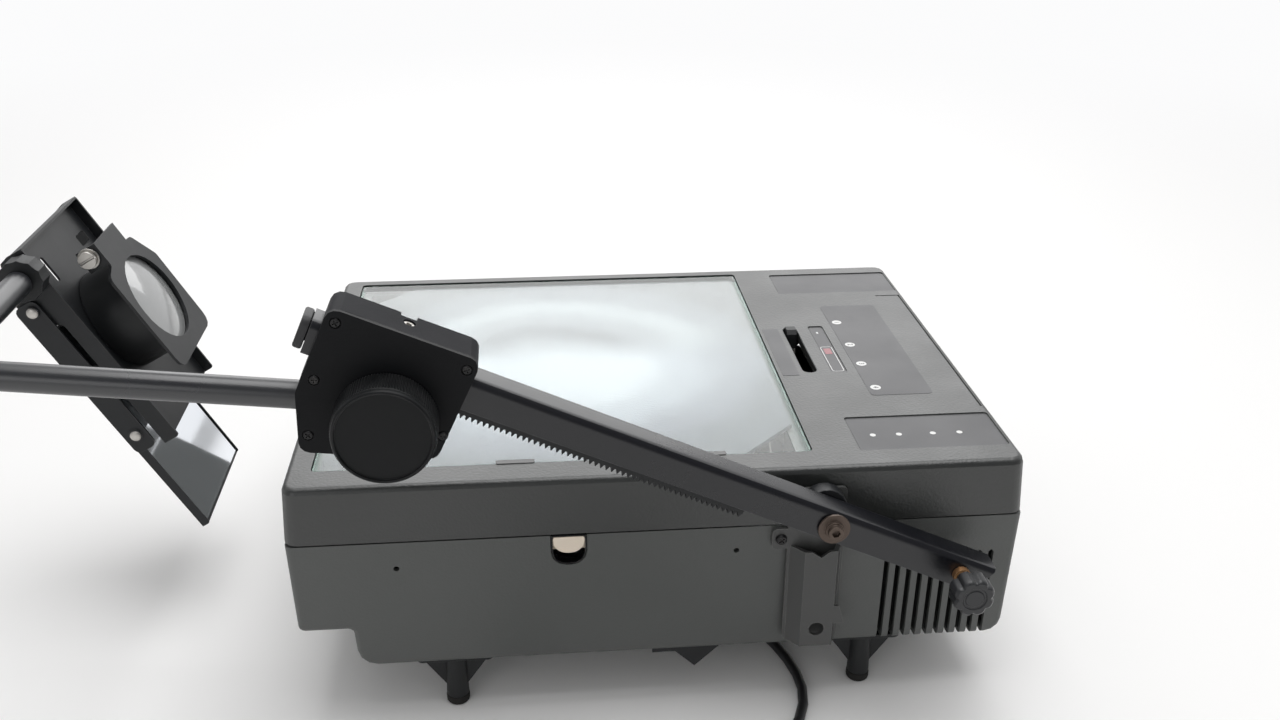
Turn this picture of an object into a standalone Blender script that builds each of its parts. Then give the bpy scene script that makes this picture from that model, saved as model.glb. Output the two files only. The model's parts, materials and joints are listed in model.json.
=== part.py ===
"""Overhead projector with its mast half folded: base box with a hinged stage cover, rack mast,
focusing carriage, arm tube and tilting lens head. Metres, +Z up, +X to the right along the front
and +Y to the back. The origin is the middle of the flat bottom of the front left foot."""

import math

import bmesh
import bpy
from mathutils import Matrix, Vector

# Clearances and counts
FIT_GAP = 0.0003
RUN_GAP = 0.0005
OVERRUN = 0.006
ARC_STEPS = 3
HOLE_STEPS = 14
ROUND_STEPS = 18
SOCKET_STEPS = 24
FINE_STEPS = 32

# Feet, placed from the front left corner of the cover
FOOT_INSET_X = 0.088
FOOT_INSET_Y = 0.012
FOOT_MARGIN_RIGHT = 0.0845
FOOT_MARGIN_BACK = 0.014
FOOT_PAD_RADIUS = 0.0070
FOOT_PAD_HEIGHT = 0.006
FOOT_PAD_ROUND = 0.0015
LEG_RADIUS = 0.0066
LEG_FOOT_RADIUS = 0.0068
LEG_FLANGE_RADIUS = 0.0225
LEG_FLANGE = 0.0025
GUSSET_REACH = 0.0215
GUSSET_THICKNESS = 0.0022
GUSSET_BOTTOM = 0.0085

# Base box
LAMP_BAY = 0.1208
BACK_MARGIN = 0.0104
COVER_TOP = 0.158
COVER_FLARE = 0.0018
COVER_CORNER = 0.008
COVER_ARRIS = 0.0035
COVER_WALL = 0.0026
SEAM_HEIGHT = 0.1222
SEAM_GAP = 0.0012
HOUSING_OUTSET = 0.0013
HOUSING_INSET = 0.0008
HOUSING_WALL = 0.0028
HOUSING_BOTTOM = 0.0363
HOUSING_EDGE = 0.0040
HOUSING_END_ROUND = 0.010
SHALLOW_BOTTOM = 0.063
SHALLOW_LENGTH = 0.0298
STEP_RUN = 0.001
STEP_ROUND = 0.0115
STEP_CREASE = 0.003
WALL_HOLES = ((0.0592, 0.1049), (0.2532, 0.1063))
WALL_HOLE_RADIUS = 0.0017

# Cooling louvres at both ends of the lamp side
LOUVRES = 10
LOUVRE_RUN = 0.0767
LOUVRE_PITCH = 0.00694
LOUVRE_WIDTH = 0.0032
LOUVRE_TOP = 0.0984
LOUVRE_WRAP = 0.0085
SIDE_VENTS = 6
SIDE_VENT_FIRST = 0.060
SIDE_VENT_PITCH = 0.012
SIDE_VENT_WIDTH = 0.0034
SIDE_VENT_LOW = 0.060
SIDE_VENT_HIGH = 0.105

# Stage: glass, Fresnel lens and the frame that carries them
GLASS_LEFT = 0.0142
GLASS_FRONT = 0.0206
GLASS_SIDE = 0.285
GLASS_THICKNESS = 0.005
GLASS_DROP = 0.0008
GLASS_CORNER = 0.003
FRESNEL_THICKNESS = 0.0025
FRESNEL_INSET = 0.0035
FRESNEL_CUT = 0.037
LEDGE_WIDTH = 0.007
LEDGE_THICKNESS = 0.002
COLLAR_WALL = 0.0028

# Panels sunk in the cover: x from its right end, y from its front, length and depth
PANEL_SINK = 0.0008
PANEL_ROUND = 0.0020
BRAND_PANEL = (-0.0935, 0.2625, 0.0905, 0.0395)
LAMP_PANEL = (-0.0930, 0.0185, 0.0895, 0.0415)
POSITION_PANEL = (-0.0850, 0.1240, 0.0105, 0.0760)
GROOVE_WIDTH = 0.0012
GROOVE_DEPTH = 0.0010
GROOVE_INSET = 0.0046
GROOVE_FRONT = 0.0677
GROOVE_BACK_INSET = 0.0635
GROOVE_REACH = 0.0167

# Lamp changer
SLOT_OFFSET = 0.02215
SLOT_REACH_FRONT = 0.0381
SLOT_REACH_BACK = 0.0359
SLOT_WIDTH = 0.0093
SLOT_COLLAR = 0.0014
SLOT_COLLAR_DEPTH = 0.0060
SLOT_CHAMFER = 0.0005
LEVER_WIDTH = 0.0068
LEVER_LENGTH = 0.0110
LEVER_TOP_RISE = 0.0026
LEVER_END_GAP = 0.0016
LEVER_THICKNESS = 0.0030
LAMP_TRAVEL = 0.058
LAMP_OFFSET = 0.0195
LAMP_HEIGHT = 0.092
LAMP_BOWL_RADIUS = 0.0255
LAMP_BOWL_DEPTH = 0.024
LAMP_BOWL_WALL = 0.0016
LAMP_NECK_RADIUS = 0.008
LAMP_NECK_LENGTH = 0.015
LAMP_CAPSULE_RADIUS = 0.005
CARRIER_THICKNESS = 0.002
CARRIER_MARGIN = 0.006
CARRIER_WIDTH = 0.040
RAIL_WIDTH = 0.0080
RAIL_HEIGHT = 0.0060
RAIL_MARGIN = 0.012
DIVIDER_OFFSET = 0.0093
DIVIDER_THICKNESS = 0.0012
DIVIDER_TOP = 0.140
DIVIDER_MARGIN = 0.008
LIGHT_PORT_RADIUS = 0.0290
MIRROR_BASE_THICKNESS = 0.003
MIRROR_BASE_MARGIN = 0.020
MIRROR_BASE_LOW = 0.046
MIRROR_BASE_HIGH = 0.128
MIRROR_BASE_LEFT = 0.020
MIRROR_BASE_INSET = 0.0172
MIRROR_BASE_LEG = 0.006

# Cooling fan
FAN_SIDE = 0.080
FAN_DEPTH = 0.025
FAN_BORE = 0.076
FAN_INSET = 0.0455
FAN_GAP = 0.0060
FAN_HUB_RADIUS = 0.0170
FAN_BLADES = 7
FAN_BLADE_THICKNESS = 0.0016
FAN_TIP_GAP = 0.0012
FAN_PIN_RADIUS = 0.003
FAN_SPOKE = 0.004
FAN_SPOKE_DEPTH = 0.003
FAN_TWIST = math.radians(38)
FAN_ROUND = 0.005

# Latch button in the notch of the front wall
LATCH_WIDTH = 0.0209
LATCH_DEPTH = 0.0202
LATCH_ROUND = 0.0090
LATCH_RIM = 0.0012
LATCH_RIM_DEPTH = 0.0060
LATCH_SINK = 0.0004
LATCH_BUTTON_DEPTH = 0.0090
LATCH_BUTTON_LOW = 0.0105
LATCH_FLANGE = 0.0012
LATCH_DOME = 0.0080

# Cover hinges on the back wall
HINGE_OUTSET = 0.0052
HINGE_Z = 0.1236
HINGE_RADIUS = 0.0028
HINGE_PIN_RADIUS = 0.0014
HINGE_LENGTH = 0.048
HINGE_LEAF = 0.016
HINGE_SHEET = 0.0012
HINGE_INSET = 0.070

# Sheet plate under the front of the base, with a V-shaped lip and a plain one
UNDER_PLATE_OFFSET = 0.0487
UNDER_PLATE_LENGTH = 0.0403
UNDER_PLATE_FRONT = 0.0040
UNDER_PLATE_DEPTH = 0.0300
UNDER_PLATE_SHEET = 0.0012
UNDER_VEE_LENGTH = 0.0289
UNDER_VEE_FALL = 0.0145
UNDER_LIP_LENGTH = 0.0196
UNDER_LIP_FALL = 0.0030

# Mast bracket on the front wall, its widths to the left and right of the mast's pivot
PIVOT_INSET = 0.1195
PIVOT_Z = 0.139
BRACKET_BACK = -0.0023
BRACKET_SHEET = 0.0020
BRACKET_LEFT = 0.0185
BRACKET_RIGHT = 0.0145
BRACKET_TOP = 0.1475
BRACKET_CORNER = 0.003
SHROUD_FRONT = -0.0125
SHROUD_HALF = 0.0095
SHROUD_TOP = 0.110
SHROUD_BOTTOM = 0.0445
SHROUD_NOTCH = 0.004
SHROUD_TAB_LOW = 0.060
SHROUD_TAB_HIGH = 0.072
SHROUD_TAB_REACH = 0.0065
BRACKET_TAB_LEFT = 0.0275
BRACKET_TAB_LOW = 0.108
BRACKET_TAB_HIGH = 0.1215
BRACKET_PAD_RADIUS = 0.0050
BRACKET_PAD_Z = 0.084
LOCK_HOLE_RADIUS = 0.0045
SPACER_RADIUS = 0.0125
SPACER_BACK = -0.0046
BOLT_RADIUS = 0.0040
BOLT_WASHER_RADIUS = 0.009
BOLT_WASHER = 0.0016
BOLT_COLLAR_RADIUS = 0.0052
BOLT_COLLAR = 0.0016
BOLT_HEAD_RADIUS = 0.0042
BOLT_HEAD = 0.0030
BOLT_SOCKET = 0.0024

# Mast: s runs up the mast from the pivot, t runs across it towards the rack
MAST_TILT = math.radians(24.5)
MAST_BACK = -0.0140
MAST_WIDTH = 0.0185
MAST_WEB = -0.0095
MAST_EDGE = 0.0085
MAST_SHEET = 0.0015
MAST_ROUND = 0.0045
MAST_FOOT = -0.102
MAST_FOOT_CUT = 0.012
MAST_TOP = 0.2975
MAST_CAP = 0.0050
MAST_CAP_PLUG = 0.012
MAST_CAP_ROUND = 0.0035
RACK_FROM = 0.053
RACK_TEETH = 73
RACK_MODULE = 0.0010
RACK_BACK = -0.0010
RACK_PITCH_LINE = 0.0130
TOOTH_THIN = 0.00018
PRESSURE_ANGLE = math.radians(20)
PINION_TEETH = 24
LOCK_S = -0.0825
LOCK_STUD_RADIUS = 0.0030
LOCK_TIP = -0.0165
LOCK_KNOB_BACK = -0.046
LOCK_KNOB_FRONT = -0.058
LOCK_KNOB_RADIUS = 0.01175
LOCK_KNOB_LOBES = 8
LOCK_LOBE_DEPTH = 0.0017
LOCK_RECESS_RADIUS = 0.006
LOCK_RECESS = 0.0020
LOCK_HUB_RADIUS = 0.0062
LOCK_HUB = 0.0015
BUSH_RADIUS = 0.0050
BUSH_SHANK_RADIUS = 0.0042
BUSH_FRONT = 0.0036
BUSH_INSIDE = 0.0030

# Carriage that rides on the mast
CASE_BACK = -0.0110
CASE_FRONT = -0.0340
CASE_WALL = 0.0026
CASE_ROUND = 0.006
PLATE_GAP = 0.0003
PLATE_THICKNESS = 0.0024
PLATE_ROUND = 0.0058
CARRIAGE_OUTLINE = ((0.2143, -0.0221), (0.2929, -0.0211), (0.2929, 0.0285), (0.2804, 0.0591), (0.2151, 0.0373))
PLATE_SCREWS = ((0.2872, -0.0146), (0.2866, 0.0181), (0.2794, 0.0483), (0.2196, -0.0152), (0.2171, 0.0238))
PLATE_SCREW_RADIUS = 0.0030
PLATE_SCREW_SINK = 0.0009
RUNNER_WIDTH = 0.004
RUNNER_INSET = 0.010
SOCKET_RADIUS = 0.0102
SOCKET_LENGTH = 0.014
CASE_NOTCH = 0.0084
CASE_NOTCH_DEPTH = 0.0040
CASE_NOTCH_S = 0.2537
DRAG_SCREW_S = 0.2530
DRAG_SCREW_Y = -0.0205
DRAG_SCREW_RADIUS = 0.0030
DRAG_SCREW_HEX = 0.0016
KNOB_S = 0.2466
KNOB_RADIUS = 0.0263
KNOB_BACK = -0.0372
KNOB_FRONT = -0.0580
KNOB_RIM = 0.0022
KNOB_RECESS = 0.0015
KNOB_CHAMFER = 0.0010
KNOB_RIBS = 24
KNOB_RIB_HEIGHT = 0.0005
KNOB_BORE_DEPTH = 0.010
SHAFT_RADIUS = 0.0040
SHAFT_COLLAR_RADIUS = 0.0065
PINION_BACK = -0.0170
PINION_WIDTH = 0.0120

# Arm tube and the hinge line of the lens head
HEAD_REACH = 0.4515
HEAD_Z = 0.2465
ARM_Y = -0.023
ARM_RADIUS = 0.0075
ARM_RISE = math.radians(6.35)
ARM_BEND = 0.030
ARM_INSIDE = 0.020
ARM_END = 0.0955
ARM_STUD_RADIUS = 0.0040
ARM_STUD_END = 0.115

# Lens head: e runs from the hinge towards the lens, n points through the lens
HEAD_TURN = math.radians(60.4)
FRAME_NEAR = 0.112
FRAME_FAR = 0.214
FRAME_SHEET = 0.0015
FRAME_START = -0.014
FRAME_END = 0.130
FRAME_TOP = 0.0060
FRAME_FLOOR = -0.0005
FRAME_LIP = -0.0045
FRAME_LOBE_DEPTH = -0.0200
FRAME_LOBE_END = 0.035
FRAME_LOBE_ROUND = 0.009
FRAME_SLOT = (0.0075, 0.1365, 0.018, 0.004)
FRAME_PORT = (0.0050, 0.190, 0.008, 0.014)
LENS_E = 0.0585
LENS_Y = 0.1625
BARREL_RADIUS = 0.034
BARREL_BORE = 0.031
BARREL_TOP = 0.0285
BARREL_SEAT = 0.0020
BARREL_STEP = 0.008
LENS_RADIUS = 0.0306
LENS_EDGE = 0.004
LENS_BULGE = 0.003
LENS_BASE = 0.0195
LENS_RINGS = 3
LENS_PLATE = 0.0018
LENS_PLATE_GAP = 0.0003
LENS_OPENING = 0.0295
TAB_E = 0.008
TAB_Y = 0.161
TAB_ROUND = 0.0055
TAB_FOLD_LENGTH = 0.0145
TAB_FOLD_DROP = 0.0120
TAB_SCREW_E = 0.0140
TAB_SCREW_N = 0.0222
TAB_SCREW_RADIUS = 0.0055
TAB_SCREW_HEAD = 0.0032
TAB_SCREW_SLOT = 0.0012
TAB_SHANK_RADIUS = 0.0022
TAB_WASHER_RADIUS = 0.0066
TAB_WASHER = 0.0012
CLAMP_RADIUS = 0.013
CLAMP_BACK = 0.1095
CLAMP_FRONT = 0.0975
CLAMP_FLUTES = 12
CLAMP_FLUTE_DEPTH = 0.0010
CLAMP_HUB = 0.0018
CLAMP_HUB_SHARE = 0.7

# Mirror that swings under the lens head
SWING_E = 0.020
SWING_N = -0.013
TILT_E = 0.1155
TILT_N = -0.0145
ARM_PLATE = 0.0015
ARM_PLATE_GAP = 0.0010
ARM_PLATE_LOW = -0.0220
ARM_PLATE_HIGH = -0.0075
ARM_PLATE_END = 0.127
RIVET_RADIUS = 0.0040
RIVET_HEAD = 0.0013
RIVET_PIN_RADIUS = 0.0020
TRAY_START = 0.038
TRAY_END = 0.192
TRAY_LOW = -0.0235
TRAY_HIGH = -0.0110
TRAY_SHEET = 0.0012
TRAY_SIDE_GAP = 0.0005
MIRROR_THICKNESS = 0.003
MIRROR_EDGE_GAP = 0.0008
MIRROR_LIFT = 0.0024

# Supply cord, measured along the floor
CORD_RADIUS = 0.0031
CORD_EXIT_INSET = 0.090
CORD_EXIT_Z = 0.062
CORD_STEP = 0.0145
RELIEF_RADIUS = 0.0080
RELIEF_TIP_RADIUS = 0.0048
RELIEF_LENGTH = 0.034
RELIEF_FLANGE = 0.0030
RELIEF_FLANGE_RADIUS = 0.0095
RELIEF_GROOVES = 3
COIL_X = 0.190
COIL_Y = -0.160
COIL_INNER = 0.0280
COIL_LOOPS = 2
COIL_LAYERS = 4
COIL_PITCH = 0.0068
COIL_LAYER_RISE = 0.0069
COIL_POINTS = 16
COIL_TAIL = 0.0075
COIL_RUN_OUT = 0.052
RUN_OUT_POINTS = 9
RUN_IN_SHARES = (10, 6, 3, 0)
PLUG_LENGTH = 0.032
PLUG_WIDTH = 0.025
PLUG_HEIGHT = 0.020
PLUG_NECK = 0.016
PLUG_BLADE = 0.0165
PLUG_BLADE_WIDTH = 0.0064
PLUG_BLADE_SHEET = 0.0016
PLUG_BLADE_SPAN = 0.0127
PLUG_PIN_RADIUS = 0.0024
PLUG_PIN_DROP = 0.0055

# Sizes that follow from those above
GLASS_RIGHT = GLASS_LEFT + GLASS_SIDE
COVER_LENGTH = GLASS_RIGHT + LAMP_BAY
COVER_DEPTH = GLASS_FRONT + GLASS_SIDE + BACK_MARGIN
FOOT_SPAN_X = COVER_LENGTH - FOOT_INSET_X - FOOT_MARGIN_RIGHT
FOOT_SPAN_Y = COVER_DEPTH - FOOT_INSET_Y - FOOT_MARGIN_BACK
LOUVRE_FIRST = COVER_LENGTH - LOUVRE_RUN
LATCH_X = GLASS_LEFT + GLASS_SIDE / 2
GROOVE_X = COVER_LENGTH - GROOVE_INSET
GROOVE_LEFT = GROOVE_X - GROOVE_REACH
GROOVE_BACK = COVER_DEPTH - GROOVE_BACK_INSET
SLOT_X = GLASS_RIGHT + SLOT_OFFSET
LAMP_X = SLOT_X + LAMP_OFFSET
DIVIDER_X = GLASS_RIGHT + DIVIDER_OFFSET
MIRROR_BASE_RIGHT = GLASS_RIGHT - MIRROR_BASE_INSET
FAN_X = COVER_LENGTH - FAN_INSET
HINGE_Y = COVER_DEPTH + HINGE_OUTSET
PIVOT_X = COVER_LENGTH - PIVOT_INSET
HEAD_X = PIVOT_X - HEAD_REACH
CORD_EXIT_X = COVER_LENGTH - CORD_EXIT_INSET
COVER_BOTTOM = SEAM_HEIGHT + SEAM_GAP
MAST_FRONT = MAST_BACK - MAST_WIDTH
GLASS_TOP = COVER_TOP - GLASS_DROP
GLASS_BOTTOM = GLASS_TOP - GLASS_THICKNESS
FRESNEL_TOP = GLASS_BOTTOM - FIT_GAP
FRESNEL_BOTTOM = FRESNEL_TOP - FRESNEL_THICKNESS
LEDGE_TOP = FRESNEL_BOTTOM - FIT_GAP
LEDGE_BOTTOM = LEDGE_TOP - LEDGE_THICKNESS
LAMP_Y = GLASS_FRONT + GLASS_SIDE / 2
SLOT_FRONT = LAMP_Y - SLOT_REACH_FRONT
SLOT_BACK = LAMP_Y + SLOT_REACH_BACK
LEVER_Y = SLOT_BACK - LEVER_END_GAP - LEVER_LENGTH / 2
PINION_RADIUS = PINION_TEETH * RACK_MODULE / 2
KNOB_T = RACK_PITCH_LINE + PINION_RADIUS
RACK_PITCH = math.pi * RACK_MODULE
PLATE_BACK = CASE_FRONT - PLATE_GAP
PLATE_FRONT = PLATE_BACK - PLATE_THICKNESS

FRAMES = {}
MATERIALS = {}


def material(name, colour, roughness, metallic=0.0, clear=0.0):
    """A Principled material; clear above zero lets light through."""
    made = bpy.data.materials.new(name)
    made.use_nodes = True
    shader = made.node_tree.nodes["Principled BSDF"]
    shader.inputs["Base Color"].default_value = (*colour, 1.0)
    shader.inputs["Roughness"].default_value = roughness
    shader.inputs["Metallic"].default_value = metallic
    shader.inputs["Transmission Weight"].default_value = clear
    MATERIALS[name] = made


def frame(name, at, turn=0.0, parent="base"):
    """An empty at a place measured from the cover's front left corner, turned about Y."""
    matrix = Matrix.Translation(Vector(at)) @ Matrix.Rotation(turn, 4, "Y")
    empty = bpy.data.objects.new(name, None)
    bpy.context.scene.collection.objects.link(empty)
    if parent in FRAMES:
        holder, held = FRAMES[parent]
        empty.parent = holder
        empty.matrix_basis = held.inverted() @ matrix
    FRAMES[name] = (empty, matrix)


def place(obj, name, look, home):
    """Names an object, gives it its material and hangs it on the empty of its frame."""
    obj.name = name
    bpy.context.scene.collection.objects.link(obj)
    obj.parent = FRAMES[home][0]
    if look:
        obj.data.materials.append(MATERIALS[look])
    return obj


def solid(name, look, home, *shapes, smooth=None):
    """One object from shape functions that each add closed geometry to a bmesh."""
    bm = bmesh.new()
    for shape in shapes:
        shape(bm)
    bmesh.ops.recalc_face_normals(bm, faces=bm.faces)
    mesh = bpy.data.meshes.new(name)
    bm.to_mesh(mesh)
    bm.free()
    if smooth:
        mesh.shade_smooth()
        mesh.set_sharp_from_angle(angle=math.radians(smooth))
    return place(bpy.data.objects.new(name, mesh), name, look, home)


def combine(obj, operation, home, *shapes):
    """Cuts the shapes from an object, or joins them to it, one Boolean for each shape."""
    for shape in shapes:
        tool = solid(obj.name + "_tool", None, home, shape)
        tool.hide_render = True
        tool.display_type = "WIRE"
        step = obj.modifiers.new(operation.title(), "BOOLEAN")
        step.operation = operation
        step.object = tool
        step.solver = "EXACT"
    return obj


def cut(obj, home, *shapes):
    return combine(obj, "DIFFERENCE", home, *shapes)


def join(obj, home, *shapes):
    return combine(obj, "UNION", home, *shapes)


def put(axis, a, b, c):
    """A point with c along the axis and a, b along the other two in X, Y, Z order."""
    return {"X": (c, a, b), "Y": (a, c, b), "Z": (a, b, c)}[axis]


def skin(bm, rings, closed=False):
    """Faces between rings of points with equal counts, capped unless the last meets the first."""
    rows = [[bm.verts.new(point) for point in ring] for ring in rings]
    pairs = list(zip(rows, rows[1:]))
    if closed:
        pairs.append((rows[-1], rows[0]))
    else:
        bm.faces.new(rows[0])
        bm.faces.new(rows[-1])
    for low, high in pairs:
        for i in range(len(low)):
            bm.faces.new((low[i - 1], low[i], high[i], high[i - 1]))


def prism(outline, axis, low, high):
    """A flat outline drawn out along an axis."""

    def shape(bm):
        skin(bm, [[put(axis, a, b, c) for a, b in outline] for c in (low, high)])

    return shape


def box(x, y, z):
    return prism(((x[0], y[0]), (x[1], y[0]), (x[1], y[1]), (x[0], y[1])), "Z", *z)


def turned(profile, axis, centre, steps=ROUND_STEPS):
    """A closed profile of radius and height turned about an axis through centre."""

    def shape(bm):
        rows = []
        for radius, height in profile:
            count = steps if radius > 0 else 1
            row = []
            for i in range(count):
                angle = math.tau * i / steps
                a = centre[0] + radius * math.cos(angle)
                b = centre[1] + radius * math.sin(angle)
                row.append(bm.verts.new(put(axis, a, b, height)))
            rows.append(row)
        for low, high in zip(rows, rows[1:] + rows[:1]):
            for i in range(steps):
                if len(low) == 1 and len(high) == 1:
                    break
                if len(low) == 1:
                    corners = (low[0], high[i - steps + 1], high[i - steps])
                elif len(high) == 1:
                    corners = (low[i - steps], low[i - steps + 1], high[0])
                else:
                    corners = (low[i - steps], low[i - steps + 1], high[i - steps + 1], high[i - steps])
                bm.faces.new(corners)

    return shape


def rod(radius, axis, centre, low, high, steps=ROUND_STEPS):
    return turned(((0, low), (radius, low), (radius, high), (0, high)), axis, centre, steps)


def ring(outer, inner, axis, centre, low, high, steps=ROUND_STEPS):
    return turned(((inner, low), (outer, low), (outer, high), (inner, high)), axis, centre, steps)


def fillet(corners, steps=ARC_STEPS):
    """An outline whose corners x, y, radius are rounded."""
    points = []
    for i, (x, y, radius) in enumerate(corners):
        here = Vector((x, y))
        if radius <= 0:
            points.append((x, y))
            continue
        back = (Vector(corners[i - 1][:2]) - here).normalized()
        ahead = (Vector(corners[(i + 1) % len(corners)][:2]) - here).normalized()
        half = back.angle(ahead) / 2
        middle = here + (back + ahead).normalized() * (radius / math.sin(half))
        first = here + back * (radius / math.tan(half)) - middle
        last = here + ahead * (radius / math.tan(half)) - middle
        start = math.atan2(first.y, first.x)
        sweep = (math.atan2(last.y, last.x) - start + math.pi) % math.tau - math.pi
        for k in range(steps + 1):
            angle = start + sweep * k / steps
            points.append((middle.x + radius * math.cos(angle), middle.y + radius * math.sin(angle)))
    return points


def inset(corners, distance):
    """Moves a counter-clockwise outline of rounded corners inwards."""
    moved = []
    for i, (x, y, radius) in enumerate(corners):
        here = Vector((x, y))
        back = (here - Vector(corners[i - 1][:2])).normalized()
        ahead = (Vector(corners[(i + 1) % len(corners)][:2]) - here).normalized()
        sides = Vector((-back.y - ahead.y, back.x + ahead.x))
        spot = here + sides * (distance / (1 + back.dot(ahead)))
        bend = back.x * ahead.y - back.y * ahead.x
        if radius > 0:
            radius = max(radius - math.copysign(distance, bend), FIT_GAP)
        moved.append((spot.x, spot.y, radius))
    return moved


def slab(x, y, radius):
    """Corners of a rounded rectangle, counter-clockwise."""
    return ((x[0], y[0], radius), (x[1], y[0], radius), (x[1], y[1], radius), (x[0], y[1], radius))


def panel(spot, axis, low, high, radius):
    """A rounded rectangle given by its near left corner and its two sides."""
    x, y, width, depth = spot
    return prism(fillet(slab((x, x + width), (y, y + depth), radius)), axis, low, high)


def fluted(count, radius, depth, steps):
    """A circle whose radius falls by depth between its lobes."""
    points = []
    for i in range(count * steps):
        angle = math.tau * i / (count * steps)
        reach = radius - depth * (1 - math.cos(count * angle)) / 2
        points.append((reach * math.cos(angle), reach * math.sin(angle)))
    return points


def around(outline, centre, scale=1.0):
    return [(centre[0] + a * scale, centre[1] + b * scale) for a, b in outline]


def mast_point(x, z):
    """Mast coordinates s, t of a place in the front plane."""
    dx = x - PIVOT_X
    dz = z - PIVOT_Z
    return (
        -math.cos(MAST_TILT) * dx + math.sin(MAST_TILT) * dz,
        -math.sin(MAST_TILT) * dx - math.cos(MAST_TILT) * dz,
    )


def housing_corners():
    """Front outline of the lower housing, carried up past the seam."""
    left = -HOUSING_OUTSET
    right = COVER_LENGTH + HOUSING_OUTSET
    top = SEAM_HEIGHT + OVERRUN + HOUSING_EDGE
    return (
        (left, top, 0),
        (left, SHALLOW_BOTTOM, HOUSING_EDGE),
        (SHALLOW_LENGTH, SHALLOW_BOTTOM, STEP_CREASE),
        (SHALLOW_LENGTH + STEP_RUN, HOUSING_BOTTOM, STEP_ROUND),
        (right, HOUSING_BOTTOM, HOUSING_END_ROUND),
        (right, top, 0),
    )


def housing_skin(wall):
    """The housing's body, or its hollow, with rounded front and back edges and drawn-in sides."""

    def shape(bm):
        front = -HOUSING_OUTSET + wall
        back = COVER_DEPTH + HOUSING_OUTSET - wall
        edge = max(HOUSING_EDGE - wall, HOUSING_EDGE / 4)
        rings = []
        for k in range(ARC_STEPS + 1):
            lean = math.pi / 2 * k / ARC_STEPS
            shrink = wall + edge * (1 - math.sin(lean))
            outline = fillet(inset(housing_corners(), shrink))
            rings.append((front + edge * (1 - math.cos(lean)), outline))
        for y, outline in reversed(rings[:]):
            rings.append((front + back - y, outline))
        skin(bm, [[draw_in((x, y, z)) for x, z in outline] for y, outline in rings])

    return shape


def draw_in(point):
    """Leans the housing's walls inwards towards the bottom."""
    x, y, z = point
    fall = (SEAM_HEIGHT - z) / (SEAM_HEIGHT - HOUSING_BOTTOM) * (HOUSING_OUTSET + HOUSING_INSET)
    middle_x = COVER_LENGTH / 2
    middle_y = COVER_DEPTH / 2
    return (x - fall * (x - middle_x) / middle_x, y - fall * (y - middle_y) / middle_y, z)


def front_face_y(z):
    """Y of the housing's front wall at a height."""
    return draw_in((COVER_LENGTH / 2, -HOUSING_OUTSET, z))[1]


def back_face_y(z):
    return draw_in((COVER_LENGTH / 2, COVER_DEPTH + HOUSING_OUTSET, z))[1]


def louvre(x, y, low):
    """One upright slot with a round top."""
    half = LOUVRE_WIDTH / 2
    corners = (
        (x - half, low, 0),
        (x + half, low, 0),
        (x + half, LOUVRE_TOP, half * (1 - FIT_GAP)),
        (x - half, LOUVRE_TOP, half * (1 - FIT_GAP)),
    )
    return prism(fillet(corners, 1), "Y", *y)


def build_housing():
    housing = solid("lower_housing", "housing_grey", "base", housing_skin(0), smooth=35)
    cut(housing, "base", housing_skin(HOUSING_WALL))
    side = (-OVERRUN - COVER_FLARE, COVER_LENGTH + COVER_FLARE + OVERRUN)
    deep = (-OVERRUN - COVER_FLARE, COVER_DEPTH + COVER_FLARE + OVERRUN)
    cut(housing, "base", box(side, deep, (SEAM_HEIGHT, SEAM_HEIGHT + 3 * OVERRUN)))
    low = HOUSING_BOTTOM - OVERRUN
    for i in range(LOUVRES):
        x = LOUVRE_FIRST + LOUVRE_PITCH * i
        cut(housing, "base", louvre(x, (-OVERRUN, LOUVRE_WRAP), low))
        cut(housing, "base", louvre(x, (COVER_DEPTH - LOUVRE_WRAP, COVER_DEPTH + OVERRUN), low))
    notch = LATCH_WIDTH / 2
    corners = (
        (LATCH_X - notch, SEAM_HEIGHT + OVERRUN, 0),
        (LATCH_X - notch, SEAM_HEIGHT - LATCH_DEPTH, LATCH_ROUND),
        (LATCH_X + notch, SEAM_HEIGHT - LATCH_DEPTH, LATCH_ROUND),
        (LATCH_X + notch, SEAM_HEIGHT + OVERRUN, 0),
    )
    cut(housing, "base", prism(fillet(corners), "Y", -OVERRUN, OVERRUN))
    for hole in WALL_HOLES:
        cut(housing, "base", rod(WALL_HOLE_RADIUS, "Y", hole, -OVERRUN, OVERRUN, HOLE_STEPS))
    relief = (CORD_EXIT_X, CORD_EXIT_Z)
    cut(housing, "base", rod(RELIEF_RADIUS + FIT_GAP, "Y", relief, COVER_DEPTH - OVERRUN, COVER_DEPTH + OVERRUN))
    for i in range(SIDE_VENTS):
        y = SIDE_VENT_FIRST + SIDE_VENT_PITCH * i
        corners = slab((y, y + SIDE_VENT_WIDTH), (SIDE_VENT_LOW, SIDE_VENT_HIGH), SIDE_VENT_WIDTH / 3)
        reach = (COVER_LENGTH - OVERRUN, COVER_LENGTH + OVERRUN)
        cut(housing, "base", prism(fillet(corners, 1), "X", *reach))


def foot_places():
    for side, x in (("left", FOOT_INSET_X), ("right", FOOT_INSET_X + FOOT_SPAN_X)):
        for end, y in (("front", FOOT_INSET_Y), ("back", FOOT_INSET_Y + FOOT_SPAN_Y)):
            yield end + "_" + side, x, y


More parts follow.
